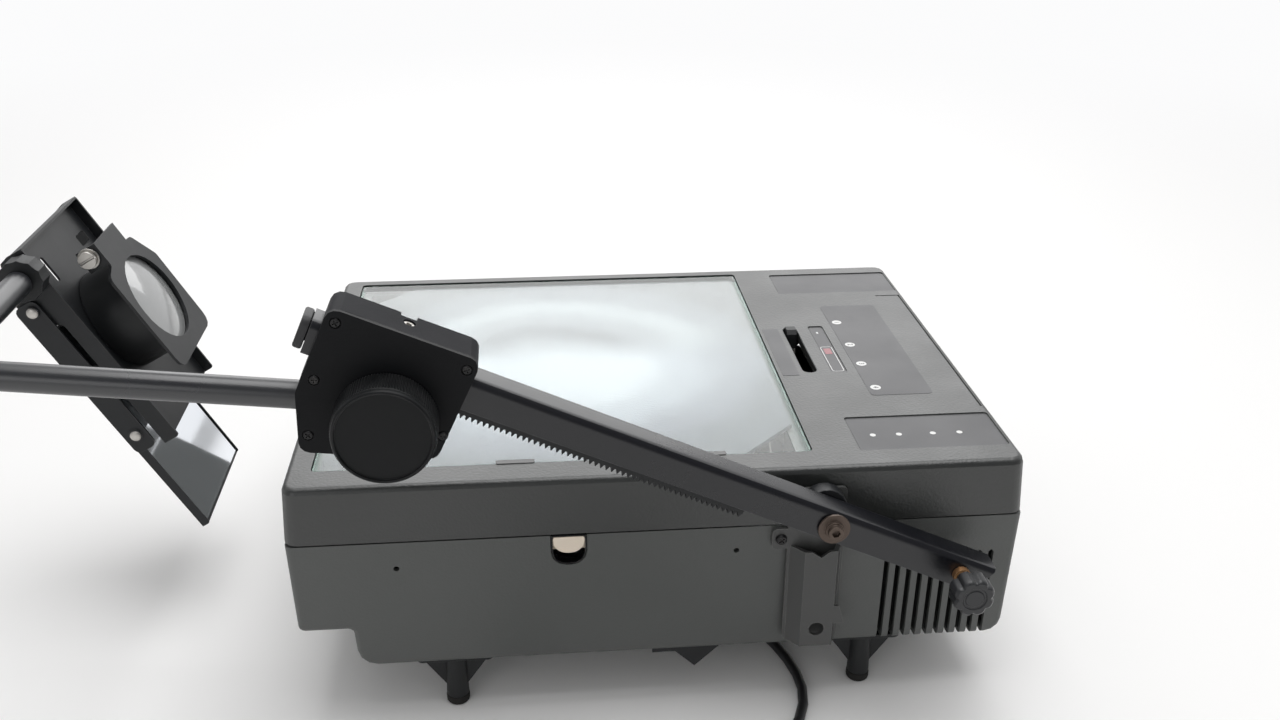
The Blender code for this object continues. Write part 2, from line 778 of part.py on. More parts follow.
def build_feet():
    top = HOUSING_BOTTOM - FIT_GAP
    sole = FOOT_PAD_HEIGHT + FIT_GAP
    for name, x, y in foot_places():
        leg = turned(
            (
                (0, sole),
                (LEG_FOOT_RADIUS, sole),
                (LEG_RADIUS, sole + FOOT_PAD_HEIGHT),
                (LEG_RADIUS, top - LEG_FLANGE),
                (0, top - LEG_FLANGE),
            ),
            "Z",
            (x, y),
        )
        post = solid("leg_" + name, "black_plastic", "base", leg, smooth=35)
        wide = (x - LEG_FLANGE_RADIUS, x + LEG_FLANGE_RADIUS)
        flange = fillet(slab(wide, (y - LEG_FOOT_RADIUS, y + LEG_FOOT_RADIUS), LEG_RADIUS / 2))
        gusset = (
            (x - GUSSET_REACH, top - LEG_FLANGE / 2),
            (x - LEG_RADIUS / 2, GUSSET_BOTTOM),
            (x + LEG_RADIUS / 2, GUSSET_BOTTOM),
            (x + GUSSET_REACH, top - LEG_FLANGE / 2),
        )
        half = GUSSET_THICKNESS / 2
        join(post, "base", prism(flange, "Z", top - LEG_FLANGE, top), prism(gusset, "Y", y - half, y + half))
        pad = (
            (0, 0),
            (FOOT_PAD_RADIUS - FOOT_PAD_ROUND, 0),
            (FOOT_PAD_RADIUS, FOOT_PAD_ROUND),
            (FOOT_PAD_RADIUS, FOOT_PAD_HEIGHT),
            (0, FOOT_PAD_HEIGHT),
        )
        solid("pad_" + name, "rubber_black", "base", turned(pad, "Z", (x, y)), smooth=35)


def build_under_plate():
    """Flat plate under the bottom whose front edge is bent down into two lips."""
    top = HOUSING_BOTTOM - FIT_GAP
    left = LATCH_X + UNDER_PLATE_OFFSET
    x = (left, left + UNDER_PLATE_LENGTH)
    y = (UNDER_PLATE_FRONT, UNDER_PLATE_FRONT + UNDER_PLATE_SHEET)
    deep = (UNDER_PLATE_FRONT, UNDER_PLATE_FRONT + UNDER_PLATE_DEPTH)
    plate = solid("underside_plate", "black_metal", "base", box(x, deep, (top - UNDER_PLATE_SHEET, top)))
    vee = (
        (x[1] - UNDER_VEE_LENGTH, top - UNDER_PLATE_SHEET / 2),
        (x[1] - UNDER_VEE_LENGTH / 2, top - UNDER_VEE_FALL),
        (x[1], top - UNDER_PLATE_SHEET / 2),
    )
    lip = box((x[0], x[0] + UNDER_LIP_LENGTH), y, (top - UNDER_LIP_FALL, top - UNDER_PLATE_SHEET / 2))
    join(plate, "base", prism(vee, "Y", *y), lip)


def cover_skin(wall, bottom, top):
    """Outer body of the cover, or its hollow, flared towards the seam."""

    def shape(bm):
        rings = []
        heights = [(bottom, 0)]
        arris = max(COVER_ARRIS - wall, COVER_ARRIS / 4)
        for k in range(ARC_STEPS + 1):
            lean = math.pi / 2 * k / ARC_STEPS
            heights.append((top - arris * (1 - math.sin(lean)), arris * (1 - math.cos(lean))))
        for z, shrink in heights:
            flare = COVER_FLARE * (COVER_TOP - z) / (COVER_TOP - COVER_BOTTOM) - wall - shrink
            corner = max(COVER_CORNER - wall - shrink, FIT_GAP)
            corners = slab((-flare, COVER_LENGTH + flare), (-flare, COVER_DEPTH + flare), corner)
            rings.append([(x, y, z) for x, y in fillet(corners)])
        skin(bm, rings)

    return shape


def build_cover():
    cover = solid("stage_cover", "housing_grey", "cover", cover_skin(0, COVER_BOTTOM, COVER_TOP), smooth=35)
    cut(cover, "cover", cover_skin(COVER_WALL, COVER_BOTTOM - OVERRUN, COVER_TOP - COVER_WALL))
    x = (GLASS_LEFT, GLASS_RIGHT)
    y = (GLASS_FRONT, GLASS_FRONT + GLASS_SIDE)
    collar = inset(slab(x, y, GLASS_CORNER), -COLLAR_WALL)
    join(cover, "cover", prism(fillet(collar), "Z", LEDGE_BOTTOM, COVER_TOP - COVER_WALL / 2))
    seat = inset(slab(x, y, GLASS_CORNER), -FIT_GAP)
    cut(cover, "cover", prism(fillet(seat), "Z", LEDGE_TOP, COVER_TOP + OVERRUN))
    window = inset(slab(x, y, GLASS_CORNER), LEDGE_WIDTH)
    cut(cover, "cover", prism(fillet(window), "Z", LEDGE_BOTTOM - OVERRUN, COVER_TOP))
    sunk = (COVER_TOP - PANEL_SINK, COVER_TOP + OVERRUN)
    for end, front, length, depth in (BRAND_PANEL, LAMP_PANEL, POSITION_PANEL):
        spot = (COVER_LENGTH + end, front, length, depth)
        cut(cover, "cover", panel(spot, "Z", *sunk, PANEL_ROUND))
    grooved = (COVER_TOP - GROOVE_DEPTH, COVER_TOP + OVERRUN)
    right = GROOVE_X + GROOVE_WIDTH
    back = GROOVE_BACK + GROOVE_WIDTH
    groove = (
        (GROOVE_X, GROOVE_FRONT),
        (right, GROOVE_FRONT),
        (right, back),
        (GROOVE_LEFT, back),
        (GROOVE_LEFT, GROOVE_BACK),
        (GROOVE_X, GROOVE_BACK),
    )
    cut(cover, "cover", prism(groove, "Z", *grooved))
    collar_low = COVER_TOP - SLOT_COLLAR_DEPTH
    join(cover, "cover", slot_shape(SLOT_COLLAR, SLOT_COLLAR, collar_low, COVER_TOP - COVER_WALL / 2))
    cut(cover, "cover", slot_shape(0, 0, collar_low - OVERRUN, COVER_TOP - SLOT_CHAMFER / 2))
    cut(cover, "cover", slot_shape(0, 2 * SLOT_CHAMFER, COVER_TOP - SLOT_CHAMFER, COVER_TOP + SLOT_CHAMFER))
    glass = prism(fillet(inset(slab(x, y, GLASS_CORNER), FIT_GAP)), "Z", GLASS_BOTTOM, GLASS_TOP)
    solid("stage_glass", "clear_glass", "cover", glass)
    low = (x[0] + FRESNEL_INSET, y[0] + FRESNEL_INSET)
    high = (x[1] - FRESNEL_INSET, y[1] - FRESNEL_INSET)
    lens = (
        (low[0], low[1]),
        (high[0] - FRESNEL_CUT, low[1]),
        (high[0], low[1] + FRESNEL_CUT),
        (high[0], high[1]),
        (low[0] + FRESNEL_CUT, high[1]),
        (low[0], high[1] - FRESNEL_CUT),
    )
    solid("fresnel_lens", "fresnel_acrylic", "cover", prism(lens, "Z", FRESNEL_BOTTOM, FRESNEL_TOP))


def slot_shape(low_margin, high_margin, low, high):
    """The lever slot's round-ended body, grown by a margin at its bottom and top."""

    def shape(bm):
        rings = []
        for margin, z in ((low_margin, low), (high_margin, high)):
            half = SLOT_WIDTH / 2 + margin
            y = (SLOT_FRONT - margin, SLOT_BACK + margin)
            corners = slab((SLOT_X - half, SLOT_X + half), y, half * (1 - FIT_GAP))
            rings.append([(a, b, z) for a, b in fillet(corners, 4)])
        skin(bm, rings)

    return shape


def build_hinges():
    """A leaf on the back wall with a knuckle and pin, and a leaf on the cover with two knuckles."""
    for side, x in (("left", HINGE_INSET), ("right", COVER_LENGTH - HINGE_INSET)):
        third = HINGE_LENGTH / 3
        face = back_face_y(SEAM_HEIGHT)
        knuckle = (x + third + RUN_GAP, x + 2 * third - RUN_GAP)
        centre = (HINGE_Y, HINGE_Z)
        low = solid("hinge_base_" + side, "steel_zinc", "base", rod(HINGE_RADIUS, "X", centre, *knuckle, 10), smooth=35)
        sheet = (face + FIT_GAP, face + FIT_GAP + HINGE_SHEET)
        low_leaf = box(knuckle, sheet, (HINGE_Z - HINGE_LEAF, SEAM_HEIGHT))
        web = box(knuckle, (sheet[0], HINGE_Y), (SEAM_HEIGHT - HINGE_SHEET, SEAM_HEIGHT))
        foot = box((x, x + HINGE_LENGTH), sheet, (HINGE_Z - HINGE_LEAF, HINGE_Z - HINGE_RADIUS - RUN_GAP))
        join(low, "base", low_leaf, web, foot, rod(HINGE_PIN_RADIUS, "X", centre, x, x + HINGE_LENGTH, 8))
        wall = COVER_DEPTH + COVER_FLARE
        sheet = (wall + FIT_GAP, wall + FIT_GAP + HINGE_SHEET)
        rise = HINGE_Z + HINGE_RADIUS + RUN_GAP
        leaf = box((x, x + HINGE_LENGTH), sheet, (rise, HINGE_Z + HINGE_LEAF))
        high = solid("hinge_cover_" + side, "steel_zinc", "cover", leaf)
        for span in ((x, x + third), (x + 2 * third, x + HINGE_LENGTH)):
            web = box(span, (sheet[0], HINGE_Y), (HINGE_Z, HINGE_Z + HINGE_SHEET))
            strap = box(span, sheet, (HINGE_Z, rise + HINGE_SHEET))
            join(high, "cover", rod(HINGE_RADIUS, "X", centre, *span, 10), web, strap)
        bore = HINGE_PIN_RADIUS + RUN_GAP / 2
        cut(high, "cover", rod(bore, "X", centre, x - OVERRUN, x + HINGE_LENGTH + OVERRUN, 8))


def latch_outline(shrink):
    half = LATCH_WIDTH / 2 - shrink
    low = SEAM_HEIGHT - LATCH_DEPTH + shrink
    high = SEAM_HEIGHT - shrink
    radius = LATCH_ROUND - shrink
    corners = (
        (LATCH_X - half, low, radius),
        (LATCH_X + half, low, radius),
        (LATCH_X + half, high, 0),
        (LATCH_X - half, high, 0),
    )
    return fillet(corners, 4)


def build_latch():
    front = front_face_y(SEAM_HEIGHT) + LATCH_SINK
    rim = solid("latch_rim", "gloss_black", "base", prism(latch_outline(FIT_GAP), "Y", front, front + LATCH_RIM_DEPTH))
    cut(rim, "base", prism(latch_outline(LATCH_RIM), "Y", front - OVERRUN, front + LATCH_RIM_DEPTH + OVERRUN))
    half = LATCH_WIDTH / 2 - LATCH_RIM - FIT_GAP
    top = SEAM_HEIGHT - LATCH_RIM - FIT_GAP
    low = top - LATCH_BUTTON_LOW
    corners = (
        (LATCH_X - half, low, LATCH_DOME),
        (LATCH_X + half, low, LATCH_DOME),
        (LATCH_X + half, top, LATCH_FLANGE),
        (LATCH_X - half, top, LATCH_FLANGE),
    )
    body = prism(fillet(corners, 5), "Y", front, front + LATCH_BUTTON_DEPTH)
    button = solid("latch_button", "beige_plastic", "latch", body)
    flange = box(
        (LATCH_X - half - LATCH_RIM, LATCH_X + half + LATCH_RIM),
        (front + LATCH_RIM_DEPTH + FIT_GAP, front + LATCH_BUTTON_DEPTH),
        (low - LATCH_RIM, top - FIT_GAP),
    )
    join(button, "latch", flange)


def build_changer():
    """Lever, sliding lamp carrier with two reflector lamps, and the rail they run on."""
    low = HOUSING_BOTTOM + HOUSING_WALL + FIT_GAP
    rail_x = (SLOT_X + LEVER_WIDTH / 2 + RUN_GAP, SLOT_X + LEVER_WIDTH / 2 + RUN_GAP + CARRIER_WIDTH)
    front = LAMP_Y - LAMP_TRAVEL - LAMP_BOWL_RADIUS - CARRIER_MARGIN
    back = LAMP_Y + LAMP_TRAVEL + LAMP_BOWL_RADIUS + CARRIER_MARGIN
    plate = LAMP_HEIGHT - LAMP_BOWL_RADIUS - CARRIER_MARGIN - CARRIER_THICKNESS
    rail_top = plate - RUN_GAP
    shapes = (
        box(rail_x, (front, back), (rail_top - CARRIER_THICKNESS, rail_top)),
        box(rail_x, (front, front + RAIL_WIDTH), (low, rail_top - CARRIER_THICKNESS / 2)),
        box(rail_x, (back - RAIL_WIDTH, back), (low, rail_top - CARRIER_THICKNESS / 2)),
    )
    rail = solid("lamp_rail", "steel_zinc", "base", shapes[0])
    join(rail, "base", *shapes[1:])
    near = LAMP_Y - LAMP_BOWL_RADIUS - CARRIER_MARGIN
    far = LAMP_Y + LAMP_TRAVEL + LAMP_BOWL_RADIUS + CARRIER_MARGIN
    holder_x = (LAMP_X, LAMP_X + CARRIER_THICKNESS)
    top = LAMP_HEIGHT + LAMP_BOWL_RADIUS + CARRIER_THICKNESS
    carrier = solid("lamp_carrier", "steel_zinc", "changer", box((rail_x[0], rail_x[1] - RUN_GAP), (near, far), (plate, plate + CARRIER_THICKNESS)))
    wall = box(holder_x, (near, far), (plate + CARRIER_THICKNESS / 2, top))
    stem_x = (SLOT_X - LEVER_WIDTH / 2, SLOT_X + LEVER_WIDTH / 2)
    stem_y = (LEVER_Y - LEVER_LENGTH / 2, LEVER_Y + LEVER_LENGTH / 2)
    link = box((stem_x[0] + RUN_GAP, holder_x[1]), (stem_y[0], stem_y[0] + LEVER_THICKNESS), (top - LEVER_LENGTH, top))
    stem = box((stem_x[0] + RUN_GAP, stem_x[1] - RUN_GAP), (stem_y[0], stem_y[0] + LEVER_THICKNESS), (top - LEVER_LENGTH, LEDGE_BOTTOM))
    join(carrier, "changer", wall, link, stem)
    for y in (LAMP_Y, LAMP_Y + LAMP_TRAVEL):
        cut(carrier, "changer", rod(LAMP_NECK_RADIUS + FIT_GAP, "X", (y, LAMP_HEIGHT), LAMP_X - OVERRUN, LAMP_X + OVERRUN, HOLE_STEPS))
    grip_top = COVER_TOP + LEVER_TOP_RISE
    grip = (
        (stem_y[0], LEDGE_BOTTOM - LEVER_LENGTH),
        (stem_y[1], LEDGE_BOTTOM - LEVER_LENGTH),
        (stem_y[1], grip_top - LEVER_TOP_RISE),
        (stem_y[1] - LEVER_TOP_RISE, grip_top),
        (stem_y[0] + LEVER_TOP_RISE, grip_top),
        (stem_y[0], grip_top - LEVER_TOP_RISE),
    )
    handle = solid("changer_lever", "black_plastic", "changer", prism(grip, "X", *stem_x))
    pocket_y = (stem_y[0] - OVERRUN, stem_y[0] + LEVER_THICKNESS + FIT_GAP)
    cut(handle, "changer", box(stem_x, pocket_y, (LEDGE_BOTTOM - 2 * LEVER_LENGTH, LEDGE_BOTTOM + FIT_GAP)))
    for number, y in (("1", LAMP_Y), ("2", LAMP_Y + LAMP_TRAVEL)):
        mouth = LAMP_X - FIT_GAP - LAMP_BOWL_DEPTH
        back_x = LAMP_X - FIT_GAP
        bowl = (
            (0, back_x + LAMP_NECK_LENGTH),
            (LAMP_NECK_RADIUS, back_x + LAMP_NECK_LENGTH),
            (LAMP_NECK_RADIUS, back_x - LAMP_BOWL_WALL),
            (LAMP_BOWL_RADIUS * 0.75, back_x - LAMP_BOWL_DEPTH * 0.42),
            (LAMP_BOWL_RADIUS, mouth),
            (LAMP_BOWL_RADIUS - LAMP_BOWL_WALL, mouth),
            (LAMP_BOWL_RADIUS * 0.75 - LAMP_BOWL_WALL, back_x - LAMP_BOWL_DEPTH * 0.48),
            (LAMP_CAPSULE_RADIUS, back_x - LAMP_BOWL_WALL * 3),
            (LAMP_CAPSULE_RADIUS, mouth + LAMP_BOWL_DEPTH * 0.3),
            (0, mouth + LAMP_BOWL_DEPTH * 0.2),
        )
        solid("lamp_" + number, "lamp_glass", "changer", turned(bowl, "X", (y, LAMP_HEIGHT), HOLE_STEPS), smooth=35)


def build_light_path():
    """Sheet divider with the light port, and the sloping mirror below the stage."""
    low = HOUSING_BOTTOM + HOUSING_WALL + FIT_GAP
    span = (DIVIDER_MARGIN, COVER_DEPTH - DIVIDER_MARGIN)
    x = (DIVIDER_X, DIVIDER_X + DIVIDER_THICKNESS)
    divider = solid("heat_divider", "steel_zinc", "base", box(x, span, (low, DIVIDER_TOP)))
    join(divider, "base", box((x[0] - RAIL_WIDTH, x[1]), span, (low, low + DIVIDER_THICKNESS)))
    port = (LAMP_Y, LAMP_HEIGHT)
    cut(divider, "base", rod(LIGHT_PORT_RADIUS, "X", port, x[0] - OVERRUN, x[1] + OVERRUN))
    run = MIRROR_BASE_RIGHT - MIRROR_BASE_LEFT
    rise = MIRROR_BASE_HIGH - MIRROR_BASE_LOW
    slope = math.hypot(run, rise)
    up = (rise / slope * MIRROR_BASE_THICKNESS, run / slope * MIRROR_BASE_THICKNESS)
    plane = (
        (MIRROR_BASE_LEFT, MIRROR_BASE_HIGH),
        (MIRROR_BASE_RIGHT, MIRROR_BASE_LOW),
        (MIRROR_BASE_RIGHT + up[0], MIRROR_BASE_LOW + up[1]),
        (MIRROR_BASE_LEFT + up[0], MIRROR_BASE_HIGH + up[1]),
    )
    wide = (MIRROR_BASE_MARGIN, COVER_DEPTH - MIRROR_BASE_MARGIN)
    solid("folding_mirror", "mirror_glass", "base", prism(plane, "Y", *wide))

    def under(x):
        return MIRROR_BASE_HIGH - (x - MIRROR_BASE_LEFT) * rise / run - FIT_GAP * slope / run

    shallow = SHALLOW_BOTTOM + HOUSING_WALL + FIT_GAP
    left = SHALLOW_LENGTH + STEP_RUN + STEP_ROUND
    right = MIRROR_BASE_RIGHT - MIRROR_BASE_LEG
    rail = MIRROR_BASE_THICKNESS
    bracket = (
        (MIRROR_BASE_LEFT, under(MIRROR_BASE_LEFT)),
        (MIRROR_BASE_LEFT, shallow),
        (MIRROR_BASE_LEFT + MIRROR_BASE_LEG, shallow),
        (MIRROR_BASE_LEFT + MIRROR_BASE_LEG, under(MIRROR_BASE_LEFT + MIRROR_BASE_LEG) - rail),
        (left, under(left) - rail),
        (right, under(right) - rail),
        (right, low),
        (right + MIRROR_BASE_LEG, low),
        (right + MIRROR_BASE_LEG, under(right + MIRROR_BASE_LEG)),
    )
    for side, y in (("front", wide[0]), ("back", wide[1] - MIRROR_BASE_LEG)):
        solid("mirror_rail_" + side, "steel_zinc", "base", prism(bracket, "Y", y, y + MIRROR_BASE_LEG))


def build_fan():
    """Square frame with a round duct and spokes, and a bladed rotor on its pin."""
    low = HOUSING_BOTTOM + HOUSING_WALL + FIT_GAP
    x = (FAN_X - FAN_SIDE / 2, FAN_X + FAN_SIDE / 2)
    z = (low, low + FAN_SIDE)
    back = COVER_DEPTH - HOUSING_WALL - FAN_GAP
    y = (back - FAN_DEPTH, back)
    centre = (FAN_X, low + FAN_SIDE / 2)
    body = solid("fan_frame", "black_plastic", "base", prism(fillet(slab(x, z, FAN_ROUND)), "Y", *y), smooth=35)
    cut(body, "base", rod(FAN_BORE / 2, "Y", centre, y[0] - OVERRUN, y[1] + OVERRUN))
    spoke = (y[1] - FAN_SPOKE_DEPTH, y[1])
    wide = (x[0] + FAN_ROUND / 5, x[1] - FAN_ROUND / 5)
    bar = box(wide, spoke, (centre[1] - FAN_SPOKE / 2, centre[1] + FAN_SPOKE / 2))
    post = box((FAN_X - FAN_SPOKE / 2, FAN_X + FAN_SPOKE / 2), spoke, (z[0] + FAN_ROUND / 5, z[1] - FAN_ROUND / 5))
    disc = rod(FAN_HUB_RADIUS, "Y", centre, *spoke)
    pin = rod(FAN_PIN_RADIUS, "Y", centre, y[0] + FAN_SPOKE, spoke[1] - FAN_SPOKE_DEPTH / 2, 16)
    join(body, "base", bar, post, disc, pin)
    rotor_y = (y[0] + FAN_TIP_GAP, spoke[0] - FAN_TIP_GAP)
    hub = solid("fan_rotor", "black_plastic", "fan", rod(FAN_HUB_RADIUS, "Y", (0, 0), *rotor_y), smooth=35)
    tip = FAN_BORE / 2 - FAN_TIP_GAP

    def blade(turn):
        def shape(bm):
            rings = []
            for radius in (FAN_HUB_RADIUS - FAN_BLADE_THICKNESS, (FAN_HUB_RADIUS + tip) / 2, tip):
                half = (rotor_y[1] - rotor_y[0]) / 2 - FAN_BLADE_THICKNESS
                skew = math.tan(FAN_TWIST) * half * FAN_HUB_RADIUS / radius
                thick = FAN_BLADE_THICKNESS / 2
                middle = (rotor_y[0] + rotor_y[1]) / 2
                sway = (radius - FAN_HUB_RADIUS) * 0.25
                corners = ((-skew - thick, -half), (-skew + thick, -half), (skew + thick, half), (skew - thick, half))
                row = []
                for across, along in corners:
                    side = across + sway
                    out = math.sqrt(max(radius * radius - side * side, 0))
                    a = out * math.cos(turn) - side * math.sin(turn)
                    b = out * math.sin(turn) + side * math.cos(turn)
                    row.append((a, middle + along, b))
                rings.append(row)
            skin(bm, rings)

        return shape

    join(hub, "fan", *[blade(math.tau * i / FAN_BLADES) for i in range(FAN_BLADES)])
    bore = FAN_PIN_RADIUS + RUN_GAP
    cut(hub, "fan", rod(bore, "Y", (0, 0), rotor_y[0] + FAN_SPOKE - FAN_TIP_GAP - RUN_GAP, rotor_y[1] + OVERRUN, 16))


def build_bracket():
    """Mounting plate with a hollow lock shroud, the spacer and the shoulder bolt."""
    sheet = (BRACKET_BACK - BRACKET_SHEET, BRACKET_BACK)
    x = (PIVOT_X - BRACKET_LEFT, PIVOT_X + BRACKET_RIGHT)
    left = PIVOT_X - SHROUD_HALF
    right = PIVOT_X + SHROUD_HALF
    outline = fillet(slab(x, (SHROUD_BOTTOM, BRACKET_TOP), BRACKET_CORNER))
    bracket = solid("mast_bracket", "black_metal", "base", prism(outline, "Y", *sheet), smooth=35)
    front = SHROUD_FRONT
    hat = (
        (x[0] + BRACKET_SHEET / 2, sheet[1] - BRACKET_SHEET / 2),
        (x[1] - BRACKET_SHEET / 2, sheet[1] - BRACKET_SHEET / 2),
        (right, front),
        (left, front),
    )
    wall = BRACKET_SHEET
    hollow = (
        (x[0] + 2 * wall, sheet[0]),
        (x[1] - 2 * wall, sheet[0]),
        (right - wall, front + wall),
        (left + wall, front + wall),
    )
    join(bracket, "base", prism(hat, "Z", SHROUD_BOTTOM, SHROUD_TOP))
    tab_x = (PIVOT_X - BRACKET_TAB_LEFT, x[0] + BRACKET_SHEET)
    tab = fillet(slab(tab_x, (BRACKET_TAB_LOW, BRACKET_TAB_HIGH), BRACKET_CORNER))
    join(bracket, "base", prism(tab, "Y", sheet[0], front_face_y(BRACKET_TAB_HIGH) - FIT_GAP))
    pad_y = (sheet[0] + BRACKET_SHEET / 2, front_face_y(BRACKET_PAD_Z) - FIT_GAP)
    pad = rod(BRACKET_PAD_RADIUS, "Y", (PIVOT_X, BRACKET_PAD_Z), *pad_y)
    flap = (
        (right - wall, SHROUD_TAB_LOW),
        (right + SHROUD_TAB_REACH, SHROUD_TAB_LOW),
        (right + SHROUD_TAB_REACH / 2, SHROUD_TAB_HIGH),
        (right - wall, SHROUD_TAB_HIGH),
    )
    join(bracket, "base", pad, prism(flap, "Y", front, front + wall / 2))
    cut(bracket, "base", prism(hollow, "Z", SHROUD_BOTTOM - OVERRUN, SHROUD_TOP + OVERRUN))
    vee = (
        (left, SHROUD_TOP + OVERRUN / 2),
        (PIVOT_X, SHROUD_TOP - SHROUD_NOTCH),
        (right, SHROUD_TOP + OVERRUN / 2),
    )
    cut(bracket, "base", prism(vee, "Y", front - OVERRUN, sheet[0] - FIT_GAP))
    lock = (PIVOT_X, PIVOT_Z + LOCK_S)
    cut(bracket, "base", rod(LOCK_HOLE_RADIUS, "Y", lock, front - OVERRUN, sheet[0] - FIT_GAP, HOLE_STEPS))
    centre = (PIVOT_X, PIVOT_Z)
    cut(bracket, "base", rod(BOLT_RADIUS + FIT_GAP, "Y", centre, sheet[0] - OVERRUN, sheet[1] + OVERRUN, HOLE_STEPS))
    bore = BOLT_RADIUS + FIT_GAP
    spacer = ring(SPACER_RADIUS, bore, "Y", centre, MAST_BACK + RUN_GAP, SPACER_BACK)
    solid("spacer_disc", "black_plastic", "base", spacer, smooth=35)
    washer = MAST_FRONT - RUN_GAP
    bolt = (
        (0, sheet[1] - FIT_GAP),
        (BOLT_RADIUS, sheet[1] - FIT_GAP),
        (BOLT_RADIUS, washer),
        (BOLT_WASHER_RADIUS, washer),
        (BOLT_WASHER_RADIUS, washer - BOLT_WASHER),
        (BOLT_COLLAR_RADIUS, washer - BOLT_WASHER),
        (BOLT_COLLAR_RADIUS, washer - BOLT_WASHER - BOLT_COLLAR),
        (BOLT_HEAD_RADIUS, washer - BOLT_WASHER - BOLT_COLLAR),
        (BOLT_HEAD_RADIUS, washer - BOLT_WASHER - BOLT_COLLAR - BOLT_HEAD),
        (0, washer - BOLT_WASHER - BOLT_COLLAR - BOLT_HEAD),
    )
    pivot = solid("pivot_bolt", "steel_brown", "base", turned(bolt, "Y", centre), smooth=35)
    end = washer - BOLT_WASHER - BOLT_COLLAR - BOLT_HEAD
    cut(pivot, "base", rod(BOLT_SOCKET, "Y", centre, end - OVERRUN, end + BOLT_SOCKET, 6))


def rack_outline():
    """Rack strip with straight-sided teeth, in mast coordinates."""
    half = RACK_PITCH / 4 - TOOTH_THIN
    lean = math.tan(PRESSURE_ANGLE) * RACK_MODULE
    tip = RACK_PITCH_LINE + RACK_MODULE
    root = RACK_PITCH_LINE - RACK_MODULE * 1.25
    first = KNOB_S - RACK_PITCH * round((KNOB_S - RACK_FROM) / RACK_PITCH)
    points = [(first - RACK_PITCH / 2, RACK_BACK), (first - RACK_PITCH / 2, root)]
    for i in range(RACK_TEETH):
        s = first + RACK_PITCH * i
        points.append((s - half - lean * 1.25, root))
        points.append((s - half + lean, tip))
        points.append((s + half - lean, tip))
        points.append((s + half + lean * 1.25, root))
    last = first + RACK_PITCH * (RACK_TEETH - 1) + RACK_PITCH / 2
    points.append((last, root))
    points.append((last, RACK_BACK))
    return points


def gear_outline():
    """Pinion with a tooth gap facing the rack, radii along straight flanks."""
    pitch = PINION_RADIUS
    outer = pitch + RACK_MODULE * 0.9
    root = pitch - RACK_MODULE * 1.25
    half = math.pi / PINION_TEETH / 2 - TOOTH_THIN / pitch
    lean = math.tan(PRESSURE_ANGLE) * RACK_MODULE / pitch
    points = []
    for i in range(PINION_TEETH):
        middle = math.tau * (i + 0.5) / PINION_TEETH - math.pi / 2
        for offset, radius in ((-half - lean, root), (-half + lean, outer), (half - lean, outer), (half + lean, root)):
            turn = middle + offset
            points.append((KNOB_S + radius * math.cos(turn), KNOB_T + radius * math.sin(turn)))
    return points


